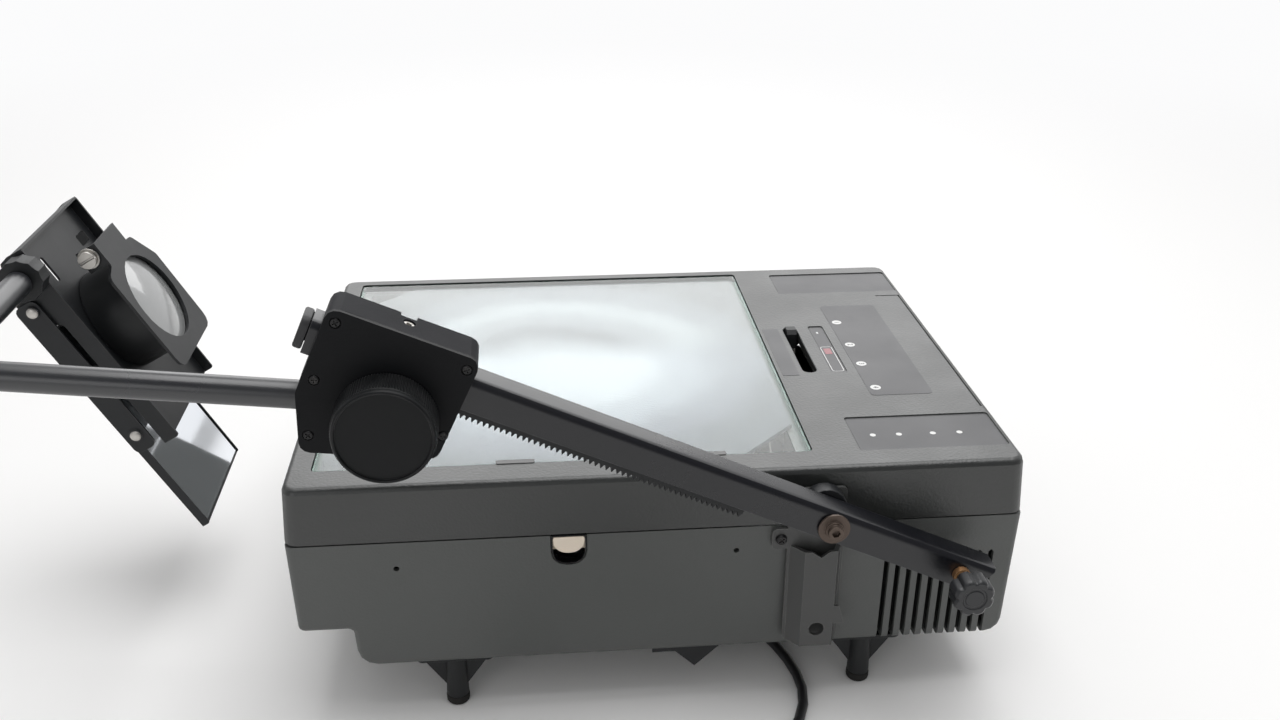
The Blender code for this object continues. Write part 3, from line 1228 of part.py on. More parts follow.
def build_mast():
    back = MAST_BACK
    front = MAST_FRONT
    sheet = MAST_SHEET
    corners = (
        (front, MAST_WEB, MAST_ROUND),
        (back, MAST_WEB, MAST_ROUND / 2),
        (back, MAST_EDGE, 0),
        (back - sheet, MAST_EDGE, 0),
        (back - sheet, MAST_WEB + sheet, MAST_ROUND / 2 - sheet),
        (front + sheet, MAST_WEB + sheet, MAST_ROUND - sheet),
        (front + sheet, MAST_EDGE, 0),
        (front, MAST_EDGE, 0),
    )
    mast = solid("mast_channel", "black_metal", "mast", prism(fillet(corners), "X", MAST_FOOT, MAST_TOP), smooth=35)
    foot = (
        (MAST_FOOT - OVERRUN, MAST_WEB + MAST_SHEET),
        (MAST_FOOT, MAST_WEB + MAST_SHEET),
        (MAST_FOOT + MAST_FOOT_CUT, MAST_EDGE + OVERRUN),
        (MAST_FOOT - OVERRUN, MAST_EDGE + OVERRUN),
    )
    wide = (front - OVERRUN, back + OVERRUN)
    cut(mast, "mast", prism(foot, "Y", *wide))
    cut(mast, "mast", rod(BOLT_RADIUS + RUN_GAP, "Y", (0, 0), *wide, HOLE_STEPS))
    cut(mast, "mast", rod(LOCK_STUD_RADIUS + RUN_GAP, "Y", (LOCK_S, 0), back - MAST_WIDTH / 2, wide[1], HOLE_STEPS))
    seat = rod(BUSH_SHANK_RADIUS + FIT_GAP, "Y", (LOCK_S, 0), wide[0], front + MAST_WIDTH / 2, HOLE_STEPS)
    cut(mast, "mast", seat)
    strip = (front + sheet + FIT_GAP, back - sheet - FIT_GAP)
    rack = solid("mast_rack", "black_plastic", "mast", prism(rack_outline(), "Y", *strip))
    web = MAST_WEB + MAST_SHEET + FIT_GAP
    lug = (strip[0] + MAST_ROUND - sheet, strip[1] - MAST_ROUND / 2 + sheet)
    for s in (RACK_FROM, (RACK_FROM + KNOB_S) / 2, KNOB_S, MAST_TOP - 3 * MAST_CAP_PLUG):
        join(rack, "mast", box((s, s + MAST_CAP_PLUG), lug, (web, RACK_BACK + RACK_MODULE)))
    cap = fillet(slab((front, back), (MAST_WEB, MAST_EDGE), MAST_ROUND))
    lid = solid("mast_end_cap", "grey_plastic", "mast", prism(cap, "X", MAST_TOP + FIT_GAP, MAST_TOP + MAST_CAP), smooth=35)
    edge = lid.modifiers.new("Rounded end", "BEVEL")
    edge.width = MAST_CAP_ROUND / 3
    edge.segments = 2
    edge.limit_method = "ANGLE"
    edge.angle_limit = math.radians(60)
    plug = (MAST_TOP - MAST_CAP_PLUG, MAST_TOP + MAST_CAP / 2)
    join(lid, "mast", box(plug, lug, (web, MAST_EDGE - MAST_ROUND)))
    face = front - RUN_GAP
    bush = (
        (LOCK_STUD_RADIUS + FIT_GAP, front + sheet + BUSH_INSIDE),
        (BUSH_SHANK_RADIUS, front + sheet + BUSH_INSIDE),
        (BUSH_SHANK_RADIUS, face),
        (BUSH_RADIUS, face),
        (BUSH_RADIUS, face - BUSH_FRONT),
        (LOCK_STUD_RADIUS + FIT_GAP, face - BUSH_FRONT),
    )
    solid("lock_bush", "brass_plain", "mast", turned(bush, "Y", (LOCK_S, 0), HOLE_STEPS), smooth=35)
    knob_steps = 3
    outline = around(fluted(LOCK_KNOB_LOBES, LOCK_KNOB_RADIUS, LOCK_LOBE_DEPTH, knob_steps), (LOCK_S, 0))
    knob = solid("lock_knob", "black_plastic", "lock", prism(outline, "Y", LOCK_KNOB_FRONT, LOCK_KNOB_BACK), smooth=40)
    rim = knob.modifiers.new("Rim", "BEVEL")
    rim.width = LOCK_LOBE_DEPTH / 2
    rim.segments = 1
    rim.limit_method = "ANGLE"
    rim.angle_limit = math.radians(60)
    hub = (LOCK_KNOB_BACK - LOCK_HUB, LOCK_KNOB_BACK + LOCK_HUB)
    join(knob, "lock", rod(LOCK_HUB_RADIUS, "Y", (LOCK_S, 0), *hub))
    recess = (LOCK_KNOB_FRONT - OVERRUN, LOCK_KNOB_FRONT + LOCK_RECESS)
    cut(knob, "lock", rod(LOCK_RECESS_RADIUS, "Y", (LOCK_S, 0), *recess))
    bore = LOCK_KNOB_FRONT + 2 * LOCK_RECESS
    cut(knob, "lock", rod(LOCK_STUD_RADIUS + FIT_GAP, "Y", (LOCK_S, 0), bore, LOCK_KNOB_BACK + OVERRUN, 16))
    stud = (
        (0, bore + FIT_GAP),
        (LOCK_STUD_RADIUS, bore + FIT_GAP),
        (LOCK_STUD_RADIUS, LOCK_TIP - LOCK_STUD_RADIUS / 2),
        (LOCK_STUD_RADIUS / 2, LOCK_TIP),
        (0, LOCK_TIP),
    )
    solid("lock_stud", "steel_zinc", "lock", turned(stud, "Y", (LOCK_S, 0), 16), smooth=35)


def carriage_corners(radius):
    return [(s, t, radius) for s, t in CARRIAGE_OUTLINE]


def arm_ray():
    """Where the arm tube's axis crosses the carriage's slanted wall, and its way out, in s and t."""
    head = Vector(mast_point(HEAD_X, HEAD_Z))
    ahead = Vector(mast_point(PIVOT_X - math.cos(ARM_RISE), PIVOT_Z + math.sin(ARM_RISE)))
    first = Vector(CARRIAGE_OUTLINE[2])
    edge = Vector(CARRIAGE_OUTLINE[3]) - first
    normal = Vector((edge.y, -edge.x))
    reach = (head - first).dot(normal) / ahead.dot(normal)
    return head - ahead * reach, ahead, reach


def build_carriage():
    depth = (CASE_FRONT, CASE_BACK)
    body = prism(fillet(carriage_corners(CASE_ROUND)), "Y", *depth)
    case = solid("carriage_case", "case_grey", "carriage", body, smooth=35)
    hollow = inset(carriage_corners(CASE_ROUND), CASE_WALL)
    floor = MAST_BACK + FIT_GAP
    cut(case, "carriage", prism(fillet(hollow), "Y", CASE_FRONT - OVERRUN, floor))
    spot, ahead, _ = arm_ray()
    lie = math.atan2(ahead.y, ahead.x)

    def along(radius, low, high):
        def shape(bm):
            rod(radius, "Z", (0, 0), low, high, SOCKET_STEPS)(bm)
            up = Matrix(((0, 0, 1), (0, 1, 0), (-1, 0, 0))).to_4x4()
            turn = Matrix.Translation((spot.x, ARM_Y, spot.y)) @ Matrix.Rotation(-lie, 4, "Y") @ up
            bm.transform(turn)

        return shape

    join(case, "carriage", along(SOCKET_RADIUS, -SOCKET_LENGTH, -CASE_WALL / 2))
    low_t = CARRIAGE_OUTLINE[0][1] + CASE_WALL / 2
    high_t = MAST_WEB - FIT_GAP
    inner = (MAST_FRONT, floor + CASE_WALL / 4)
    for s in (CARRIAGE_OUTLINE[0][0] + RUNNER_INSET, CARRIAGE_OUTLINE[1][0] - RUNNER_INSET - RUNNER_WIDTH):
        join(case, "carriage", box((s, s + RUNNER_WIDTH), inner, (low_t + CASE_WALL / 2, high_t)))
    ends = (CARRIAGE_OUTLINE[4][0] - OVERRUN, CARRIAGE_OUTLINE[2][0] + OVERRUN)
    teeth = RACK_PITCH_LINE + RACK_MODULE
    cut(case, "carriage", box(ends, (CASE_FRONT - OVERRUN, floor), (MAST_WEB - FIT_GAP, teeth + RUN_GAP)))
    cut(case, "carriage", along(ARM_RADIUS + FIT_GAP, -3 * SOCKET_LENGTH, OVERRUN))
    bore = SHAFT_RADIUS + FIT_GAP
    shaft = (KNOB_S, KNOB_T)
    cut(case, "carriage", rod(bore, "Y", shaft, floor - OVERRUN, CASE_BACK + OVERRUN, HOLE_STEPS))
    half = CASE_NOTCH / 2
    notch = (CARRIAGE_OUTLINE[0][1] - OVERRUN, CARRIAGE_OUTLINE[0][1] + 2 * CASE_WALL)
    notch_y = (CASE_BACK - CASE_NOTCH_DEPTH, CASE_BACK + OVERRUN)
    cut(case, "carriage", box((CASE_NOTCH_S - half, CASE_NOTCH_S + half), notch_y, notch))
    screw = (DRAG_SCREW_S, DRAG_SCREW_Y)
    cut(case, "carriage", rod(DRAG_SCREW_RADIUS + FIT_GAP, "Z", screw, notch[0], notch[1], 16))
    head = CARRIAGE_OUTLINE[0][1] + CASE_WALL / 2
    thread = rod(DRAG_SCREW_RADIUS, "Z", screw, head, MAST_WEB - FIT_GAP, 16)
    drag = solid("drag_screw", "steel_zinc", "carriage", thread, smooth=35)
    cut(drag, "carriage", rod(DRAG_SCREW_HEX, "Z", screw, head - OVERRUN, head + DRAG_SCREW_RADIUS, 6))
    sheet = prism(fillet(carriage_corners(PLATE_ROUND)), "Y", PLATE_FRONT, PLATE_BACK)
    plate = solid("carriage_plate", "black_metal", "carriage", sheet, smooth=35)
    cut(plate, "carriage", rod(bore, "Y", shaft, PLATE_FRONT - OVERRUN, PLATE_BACK + OVERRUN, HOLE_STEPS))
    sink = (PLATE_FRONT - OVERRUN, PLATE_FRONT + PLATE_SCREW_SINK)
    for hole in PLATE_SCREWS:
        cut(plate, "carriage", rod(PLATE_SCREW_RADIUS, "Y", hole, *sink, HOLE_STEPS))


def build_focus():
    """Knurled knob and the pinion on its shaft."""
    centre = (KNOB_S, KNOB_T)
    outline = fluted(KNOB_RIBS, KNOB_RADIUS, KNOB_RIB_HEIGHT, 2)
    shrink = 1 - KNOB_CHAMFER / KNOB_RADIUS
    inner = 1 - KNOB_RIM / KNOB_RADIUS
    levels = (
        (shrink, KNOB_BACK),
        (1.0, KNOB_BACK - KNOB_CHAMFER),
        (1.0, KNOB_FRONT + KNOB_CHAMFER),
        (shrink, KNOB_FRONT),
        (inner, KNOB_FRONT),
        (inner, KNOB_FRONT + KNOB_RECESS),
    )

    def shape(bm):
        skin(bm, [[put("Y", a, b, y) for a, b in around(outline, centre, scale)] for scale, y in levels])

    knob = solid("focus_knob", "black_plastic", "focus", shape, smooth=30)
    end = KNOB_BACK - KNOB_BORE_DEPTH
    bore = SHAFT_RADIUS + FIT_GAP
    cut(knob, "focus", rod(bore, "Y", centre, end - FIT_GAP, KNOB_BACK + OVERRUN, HOLE_STEPS))
    teeth = (PINION_BACK - PINION_WIDTH, PINION_BACK)
    pinion = solid("focus_pinion", "grey_plastic", "focus", prism(gear_outline(), "Y", *teeth))
    join(pinion, "focus", rod(SHAFT_RADIUS, "Y", centre, end, CASE_BACK, HOLE_STEPS))
    collar = (PLATE_BACK + FIT_GAP, teeth[0] + FIT_GAP)
    join(pinion, "focus", rod(SHAFT_COLLAR_RADIUS, "Y", centre, *collar, HOLE_STEPS))


def build_arm():
    """Arm tube from the carriage, bent towards the back, with the stud that carries the head."""
    _, _, reach = arm_ray()
    out = Vector((-math.cos(ARM_RISE), 0, math.sin(ARM_RISE)))
    corner = Vector((HEAD_X, ARM_Y, HEAD_Z))
    start = corner - out * (reach + ARM_INSIDE)
    points = [start, corner - out * ARM_BEND]
    middle = corner - out * ARM_BEND + Vector((0, ARM_BEND, 0))
    steps = 8
    for k in range(1, steps + 1):
        angle = math.pi / 2 * k / steps
        points.append(middle + out * (ARM_BEND * math.sin(angle)) - Vector((0, ARM_BEND * math.cos(angle), 0)))
    points.append(Vector((HEAD_X, ARM_END, HEAD_Z)))
    tube = tube_object("arm_tube", "black_metal", "carriage_square", points, ARM_RADIUS, 3)
    join(tube, "carriage_square", rod(ARM_STUD_RADIUS, "Y", (HEAD_X, HEAD_Z), ARM_END - OVERRUN, ARM_STUD_END))


def tube_object(name, look, home, points, radius, resolution, mesh=True):
    """A round tube along points, as a poly curve, turned into a mesh where Booleans follow."""
    curve = bpy.data.curves.new(name, "CURVE")
    curve.dimensions = "3D"
    curve.bevel_depth = radius
    curve.bevel_resolution = resolution
    curve.use_fill_caps = True
    curve.render_resolution_u = 0
    line = curve.splines.new("POLY")
    line.points.add(len(points) - 1)
    for spot, point in zip(line.points, points):
        spot.co = (*point, 1.0)
    line.use_smooth = True
    if not mesh:
        return place(bpy.data.objects.new(name, curve), name, look, home)
    loose = bpy.data.objects.new(name + "_curve", curve)
    bpy.context.scene.collection.objects.link(loose)
    made = bpy.data.meshes.new_from_object(loose)
    bpy.data.objects.remove(loose)
    bm = bmesh.new()
    bm.from_mesh(made)
    bmesh.ops.remove_doubles(bm, verts=bm.verts, dist=FIT_GAP / 100)
    bmesh.ops.recalc_face_normals(bm, faces=bm.faces)
    bm.to_mesh(made)
    bm.free()
    made.shade_smooth()
    made.set_sharp_from_angle(angle=math.radians(50))
    return place(bpy.data.objects.new(name, made), name, look, home)


def build_head():
    sheet = FRAME_SHEET
    floor = (FRAME_FLOOR - sheet, FRAME_FLOOR)
    e = (FRAME_START, FRAME_END)
    body = solid("head_frame", "black_metal", "head", box(e, (FRAME_NEAR, FRAME_FAR), floor))
    near = (
        (e[0], FRAME_LIP, 0),
        (FRAME_START + sheet, FRAME_LOBE_DEPTH / 2, 0),
        (SWING_E - FRAME_LOBE_ROUND, FRAME_LOBE_DEPTH, FRAME_LOBE_ROUND / 2),
        (SWING_E + FRAME_LOBE_ROUND, FRAME_LOBE_DEPTH, FRAME_LOBE_ROUND / 2),
        (FRAME_LOBE_END, FRAME_LIP, FRAME_LOBE_ROUND / 2),
        (e[1], FRAME_LIP, 0),
        (e[1], FRAME_TOP, sheet),
        (e[0], FRAME_TOP, sheet),
    )
    walls = ((FRAME_NEAR, FRAME_NEAR + sheet), (FRAME_FAR - sheet, FRAME_FAR))
    join(body, "head", *[prism(fillet(near), "Y", *wall) for wall in walls])
    across = (FRAME_NEAR + sheet / 2, FRAME_FAR - sheet / 2)
    join(body, "head", box((e[0], e[0] + sheet), across, (FRAME_FLOOR - sheet / 2, FRAME_TOP)))
    centre = (LENS_E, LENS_Y)
    low = FRAME_FLOOR - sheet - OVERRUN
    cut(body, "head", rod(BARREL_BORE, "Z", centre, low, FRAME_TOP, FINE_STEPS))
    wide = FRAME_SLOT[2] / 2
    slim = FRAME_SLOT[3] / 2
    slot_e = (FRAME_SLOT[0] - wide, FRAME_SLOT[0] + wide)
    slot_y = (FRAME_SLOT[1] - slim, FRAME_SLOT[1] + slim)
    slot = fillet(slab(slot_e, slot_y, slim * (1 - FIT_GAP)))
    cut(body, "head", prism(slot, "Z", low, FRAME_TOP), panel(FRAME_PORT, "Z", low, FRAME_TOP, sheet))
    for hole, radius, wall in (
        ((0, 0), ARM_STUD_RADIUS + RUN_GAP, walls[0]),
        ((SWING_E, SWING_N), RIVET_PIN_RADIUS + RUN_GAP, walls[0]),
        ((SWING_E, SWING_N), RIVET_PIN_RADIUS + RUN_GAP, walls[1]),
    ):
        cut(body, "head", rod(radius, "Y", hole, wall[0] - OVERRUN / 2, wall[1] + OVERRUN / 2, HOLE_STEPS))
    seat = FRAME_FLOOR + FIT_GAP
    top = BARREL_TOP
    barrel = (
        (BARREL_BORE, seat),
        (BARREL_RADIUS, seat),
        (BARREL_RADIUS, top),
        (BARREL_BORE, top),
        (BARREL_BORE, LENS_BASE),
        (BARREL_BORE - BARREL_SEAT, LENS_BASE),
        (BARREL_BORE - BARREL_SEAT, LENS_BASE - BARREL_SEAT),
        (BARREL_BORE, LENS_BASE - BARREL_SEAT),
    )
    solid("lens_barrel", "black_plastic", "head", turned(barrel, "Z", centre, FINE_STEPS), smooth=35)
    lens_low = LENS_BASE + FIT_GAP
    profile = []
    for k in range(LENS_RINGS + 1):
        share = k / LENS_RINGS
        profile.append((LENS_RADIUS * share, lens_low + LENS_EDGE + LENS_BULGE * 2 - LENS_BULGE * share * share))
    profile.append((LENS_RADIUS, lens_low))
    profile.append((0, lens_low))
    solid("objective_lens", "clear_glass", "head", turned(profile, "Z", centre, FINE_STEPS), smooth=50)
    plate_low = BARREL_TOP + LENS_PLATE_GAP
    tab_near = TAB_Y - BARREL_RADIUS / 2 - TAB_ROUND
    tab_far = TAB_Y + BARREL_RADIUS / 2
    reach = BARREL_RADIUS + FRAME_TOP
    outline = (
        (TAB_E, tab_near, 0),
        (LENS_E - reach + FRAME_TOP, tab_near, TAB_ROUND / 2),
        (LENS_E - BARREL_BORE + FRAME_SHEET, LENS_Y - reach + FRAME_TOP / 2, TAB_ROUND),
        (LENS_E + reach, LENS_Y - reach + FRAME_TOP / 2, BARREL_STEP),
        (LENS_E + reach, LENS_Y + reach - FRAME_SHEET, BARREL_STEP),
        (LENS_E - BARREL_RADIUS / 2, LENS_Y + reach - FRAME_SHEET, TAB_ROUND),
        (LENS_E - reach + FRAME_TOP / 2, LENS_Y + BARREL_RADIUS / 2 + FRAME_TOP, TAB_ROUND),
        (LENS_E - reach + FRAME_TOP / 2, tab_far, 0),
        (TAB_E, tab_far, 0),
    )
    plate_z = (plate_low, plate_low + LENS_PLATE)
    plate = solid("lens_plate", "black_metal", "head", prism(fillet(outline), "Z", *plate_z), smooth=35)
    fold = (tab_near, tab_near + LENS_PLATE)
    drop = (plate_low - TAB_FOLD_DROP, plate_low + LENS_PLATE / 2)
    join(plate, "head", box((TAB_E, TAB_E + TAB_FOLD_LENGTH), fold, drop))
    cut(plate, "head", rod(LENS_OPENING, "Z", centre, plate_low - OVERRUN, plate_low + OVERRUN, FINE_STEPS))
    spot = (TAB_SCREW_E, TAB_SCREW_N)
    bore = TAB_SHANK_RADIUS + FIT_GAP
    cut(plate, "head", rod(bore, "Y", spot, fold[0] - OVERRUN, fold[1] + OVERRUN, HOLE_STEPS))
    washer = (tab_near - FIT_GAP - TAB_WASHER, tab_near - FIT_GAP)
    disc = ring(TAB_WASHER_RADIUS, bore, "Y", spot, *washer, HOLE_STEPS)
    solid("tab_washer", "steel_zinc", "head", disc, smooth=35)
    rest = washer[0] - FIT_GAP
    screw = (
        (0, fold[1] + TAB_SCREW_HEAD),
        (TAB_SHANK_RADIUS, fold[1] + TAB_SCREW_HEAD),
        (TAB_SHANK_RADIUS, rest),
        (TAB_SCREW_RADIUS, rest),
        (TAB_SCREW_RADIUS, rest - TAB_SCREW_HEAD),
        (0, rest - TAB_SCREW_HEAD),
    )
    head = solid("tab_screw", "steel_zinc", "head", turned(screw, "Y", spot, HOLE_STEPS), smooth=35)
    slit = TAB_SCREW_SLOT / 2
    long = (TAB_SCREW_N - TAB_SCREW_RADIUS * 2, TAB_SCREW_N + TAB_SCREW_RADIUS * 2)
    deep = (rest - TAB_SCREW_HEAD - TAB_SCREW_SLOT, rest - TAB_SCREW_HEAD + TAB_SCREW_SLOT)
    cut(head, "head", box((TAB_SCREW_E - slit, TAB_SCREW_E + slit), deep, long))
    nut = around(fluted(CLAMP_FLUTES, CLAMP_RADIUS, CLAMP_FLUTE_DEPTH, 3), (0, 0))
    knob = solid("clamp_nut", "black_plastic", "clamp", prism(nut, "Y", CLAMP_FRONT, CLAMP_BACK), smooth=40)
    hub = (CLAMP_BACK - CLAMP_HUB, FRAME_NEAR - RUN_GAP)
    join(knob, "clamp", rod(CLAMP_RADIUS * CLAMP_HUB_SHARE, "Y", (0, 0), *hub))
    bore = ARM_STUD_RADIUS + FIT_GAP
    cut(knob, "clamp", rod(bore, "Y", (0, 0), CLAMP_FRONT - OVERRUN, FRAME_NEAR + OVERRUN, HOLE_STEPS))


def build_mirror():
    """Two swing arms riveted to the frame, and the tray between them that tilts on its rivets."""
    plate_corners = (
        (SWING_E - RIVET_RADIUS * 1.6, ARM_PLATE_LOW, RIVET_RADIUS),
        (ARM_PLATE_END, ARM_PLATE_LOW, RIVET_RADIUS),
        (ARM_PLATE_END, ARM_PLATE_HIGH, RIVET_RADIUS),
        (SWING_E - RIVET_RADIUS * 1.6, ARM_PLATE_HIGH, RIVET_RADIUS),
    )
    swing = (SWING_E, SWING_N)
    tilt = (TILT_E, TILT_N)
    sides = (("near", FRAME_NEAR, -1), ("far", FRAME_FAR, 1))
    for side, wall, way in sides:
        inner = wall + way * ARM_PLATE_GAP
        outer = inner + way * ARM_PLATE
        low, high = sorted((inner, outer))
        arm = solid("mirror_arm_" + side, "black_metal", "swing", prism(fillet(plate_corners), "Y", low, high), smooth=35)
        for spot in (swing, tilt):
            low, high = sorted((outer - way * FIT_GAP, outer + way * RIVET_HEAD))
            join(arm, "swing", rod(RIVET_RADIUS, "Y", spot, low, high))
            low, high = sorted((inner + way * ARM_PLATE / 2, wall - way * (FRAME_SHEET + RUN_GAP)))
            if spot == tilt:
                low, high = sorted((inner + way * ARM_PLATE / 2, wall - way * (FRAME_SHEET + TRAY_SIDE_GAP + TRAY_SHEET)))
            join(arm, "swing", rod(RIVET_PIN_RADIUS, "Y", spot, low, high, HOLE_STEPS))
    near = FRAME_NEAR + FRAME_SHEET + TRAY_SIDE_GAP
    far = FRAME_FAR - FRAME_SHEET - TRAY_SIDE_GAP
    sheet = TRAY_SHEET
    e = (FRAME_END + RUN_GAP * 2, TRAY_END)
    span = (TRAY_START, TRAY_END)
    tray = solid("mirror_tray", "black_metal", "tilt", box(span, (near, far), (TRAY_LOW, TRAY_LOW + sheet)))
    for low, high in ((near, near + sheet), (far - sheet, far)):
        cheek = (
            (span[0], TRAY_LOW, 0),
            (span[1], TRAY_LOW, 0),
            (span[1], TRAY_LOW + MIRROR_THICKNESS + 2 * sheet, sheet),
            (TILT_E + RIVET_RADIUS * 3, TRAY_LOW + MIRROR_THICKNESS + 2 * sheet, sheet),
            (TILT_E + RIVET_RADIUS, TRAY_HIGH, sheet),
            (TILT_E - RIVET_RADIUS, TRAY_HIGH, sheet),
            (TILT_E - RIVET_RADIUS * 3, TRAY_LOW + MIRROR_THICKNESS + 2 * sheet, sheet),
            (span[0], TRAY_LOW + MIRROR_THICKNESS + 2 * sheet, sheet),
        )
        join(tray, "tilt", prism(fillet(cheek, 2), "Y", low, high))
    for low, high in ((span[0], span[0] + sheet), (span[1] - sheet, span[1])):
        join(tray, "tilt", box((low, high), (near + sheet / 2, far - sheet / 2), (TRAY_LOW + sheet / 2, TRAY_LOW + MIRROR_THICKNESS + sheet)))
    for low, high in ((near - OVERRUN, near + OVERRUN), (far - OVERRUN, far + OVERRUN)):
        cut(tray, "tilt", rod(RIVET_PIN_RADIUS + RUN_GAP, "Y", tilt, low, high, HOLE_STEPS))
    margin = sheet + MIRROR_EDGE_GAP
    glass_low = TRAY_LOW + sheet + FIT_GAP
    glass = box((span[0] + margin, span[1] - margin), (near + margin, far - margin), (glass_low, glass_low + MIRROR_THICKNESS))
    solid("head_mirror", "mirror_glass", "tilt", glass)


def smooth_route(points, step):
    """Evenly spaced places on a smooth curve through the route's points."""
    dense = []
    for i in range(len(points) - 1):
        a = points[max(i - 1, 0)]
        b = points[i]
        c = points[i + 1]
        d = points[min(i + 2, len(points) - 1)]
        for k in range(24):
            t = k / 24
            dense.append(0.5 * ((2 * b) + (c - a) * t + (2 * a - 5 * b + 4 * c - d) * t * t + (3 * b - a - 3 * c + d) * t ** 3))
    dense.append(points[-1])
    total = sum((q - p).length for p, q in zip(dense, dense[1:]))
    count = max(round(total / step), 2)
    placed = [dense[0]]
    walked = 0.0
    for p, q in zip(dense, dense[1:]):
        length = (q - p).length
        while len(placed) < count and walked + length >= total * len(placed) / count:
            share = (total * len(placed) / count - walked) / length
            placed.append(p.lerp(q, share))
        walked += length
    placed.append(dense[-1])
    return placed, total


def coil_points():
    """One unbroken spiral that winds in and out again, layer upon layer, then runs down to the plug."""
    points = []
    per_layer = COIL_POINTS * COIL_LOOPS
    climb = COIL_POINTS // 2
    reach = COIL_PITCH * COIL_LOOPS
    angle = 0.0
    turn = -math.tau / COIL_POINTS
    height = CORD_RADIUS
    for layer in range(COIL_LAYERS):
        outward = layer % 2 == 1
        for i in range(per_layer + 1):
            share = i / per_layer
            radius = COIL_INNER + reach * (share if outward else 1 - share)
            points.append(Vector((radius * math.cos(angle), radius * math.sin(angle), height)))
            angle += turn
        if layer < COIL_LAYERS - 1:
            edge = COIL_INNER + (reach if outward else 0)
            for i in range(1, climb):
                share = i / climb
                swell = COIL_PITCH * 0.5 * math.sin(math.pi * share) * (1 if outward else -1)
                lift = COIL_LAYER_RISE * (1 - math.cos(math.pi * share)) / 2
                radius = edge + swell
                points.append(Vector((radius * math.cos(angle), radius * math.sin(angle), height + lift)))
                angle += turn
            height += COIL_LAYER_RISE
    way = (points[-1] - points[-2]).to_2d().normalized().to_3d()
    fall = height - PLUG_HEIGHT / 2 - FIT_GAP
    last = points[-1]
    for i in range(1, RUN_OUT_POINTS + 1):
        share = i / RUN_OUT_POINTS
        drop = fall * (1 - math.cos(math.pi * share)) / 2
        points.append(last + way * (COIL_RUN_OUT * share) - Vector((0, 0, drop)))
    return points


def least_gap(points, radius):
    """Smallest distance between the surfaces of the coil's strands that pass each other."""
    least = math.inf
    for i in range(len(points)):
        for j in range(i + COIL_POINTS // 2, len(points)):
            least = min(least, (points[i] - points[j]).length)
    return least - 2 * radius


def cord_route():
    """Places on the supply cord from its gland, under the base, to the coil, chosen by hand."""
    exit_y = back_face_y(CORD_EXIT_Z) + RELIEF_FLANGE + RELIEF_LENGTH + 2 * FIT_GAP
    low = CORD_RADIUS
    return [
        Vector((CORD_EXIT_X, exit_y, CORD_EXIT_Z)),
        Vector((CORD_EXIT_X, exit_y + 0.012, CORD_EXIT_Z - 0.0004)),
        Vector((CORD_EXIT_X, exit_y + 0.030, CORD_EXIT_Z - 0.006)),
        Vector((CORD_EXIT_X - 0.001, exit_y + 0.048, CORD_EXIT_Z - 0.022)),
        Vector((CORD_EXIT_X - 0.005, exit_y + 0.064, low + 0.018)),
        Vector((CORD_EXIT_X - 0.014, exit_y + 0.082, low + 0.002)),
        Vector((CORD_EXIT_X - 0.034, exit_y + 0.096, low)),
        Vector((CORD_EXIT_X - 0.062, exit_y + 0.092, low)),
        Vector((CORD_EXIT_X - 0.082, exit_y + 0.070, low)),
        Vector((CORD_EXIT_X - 0.088, exit_y + 0.030, low)),
        Vector((CORD_EXIT_X - 0.086, exit_y - 0.030, low)),
        Vector((0.240, 0.250, low)),
        Vector((0.2450, 0.170, low)),
        Vector((0.2620, 0.100, low)),
        Vector((0.2830, 0.058, low)),
        Vector((0.2940, 0.030, low)),
        Vector((0.2980, 0.002, low)),
        Vector((0.2930, -0.022, low)),
        Vector((0.2790, -0.046, low)),
        Vector((0.2590, -0.066, low)),
        Vector((0.2410, -0.083, low)),
    ]


def build_cord():
    exit_face = back_face_y(CORD_EXIT_Z)
    centre = (CORD_EXIT_X, CORD_EXIT_Z)
    first = exit_face + FIT_GAP
    root = first + RELIEF_FLANGE
    profile = [(0, exit_face - HOUSING_WALL * 2), (RELIEF_RADIUS, exit_face - HOUSING_WALL * 2), (RELIEF_RADIUS, first), (RELIEF_FLANGE_RADIUS, first), (RELIEF_FLANGE_RADIUS, root)]
    for i in range(RELIEF_GROOVES):
        share = (i + 0.35) / RELIEF_GROOVES
        wide = RELIEF_RADIUS + (RELIEF_TIP_RADIUS - RELIEF_RADIUS) * share
        spot = root + RELIEF_LENGTH * share
        profile.append((wide, spot))
        profile.append((wide - FIT_GAP * 3, spot + FIT_GAP * 2))
        profile.append((wide - FIT_GAP * 3, spot + FIT_GAP * 6))
        profile.append((wide, spot + FIT_GAP * 8))
    profile.append((RELIEF_TIP_RADIUS, root + RELIEF_LENGTH))
    profile.append((0, root + RELIEF_LENGTH))
    solid("strain_relief", "rubber_black", "base", turned(profile, "Y", centre, 12), smooth=35)
    coil = coil_points()
    middle = Vector((COIL_X, COIL_Y, 0))
    placed = [point + middle for point in coil]
    first_way = (placed[0] - placed[1]).to_2d().normalized().to_3d()
    last_way = (placed[-1] - placed[-2]).to_2d().normalized().to_3d()
    head = placed[0] + first_way * COIL_TAIL
    tail = placed[-1] + last_way * COIL_TAIL
    whole = [head] + placed + [tail]
    print("coil: least gap to itself", round(least_gap(placed, CORD_RADIUS) * 1000, 2), "mm")
    tube_object("cord_coil", "cord_black", "base", whole, CORD_RADIUS, 1, mesh=False)
    end = head + first_way * FIT_GAP
    run_in = [end + first_way * (CORD_RADIUS * k) for k in RUN_IN_SHARES]
    spots, length = smooth_route(cord_route() + run_in, CORD_STEP)
    print("cord: free run", round(length, 4), "m, points", len(spots))
    tube_object("supply_cord", "cord_black", "base", spots, CORD_RADIUS, 2, mesh=False)
    build_plug(tail, last_way)


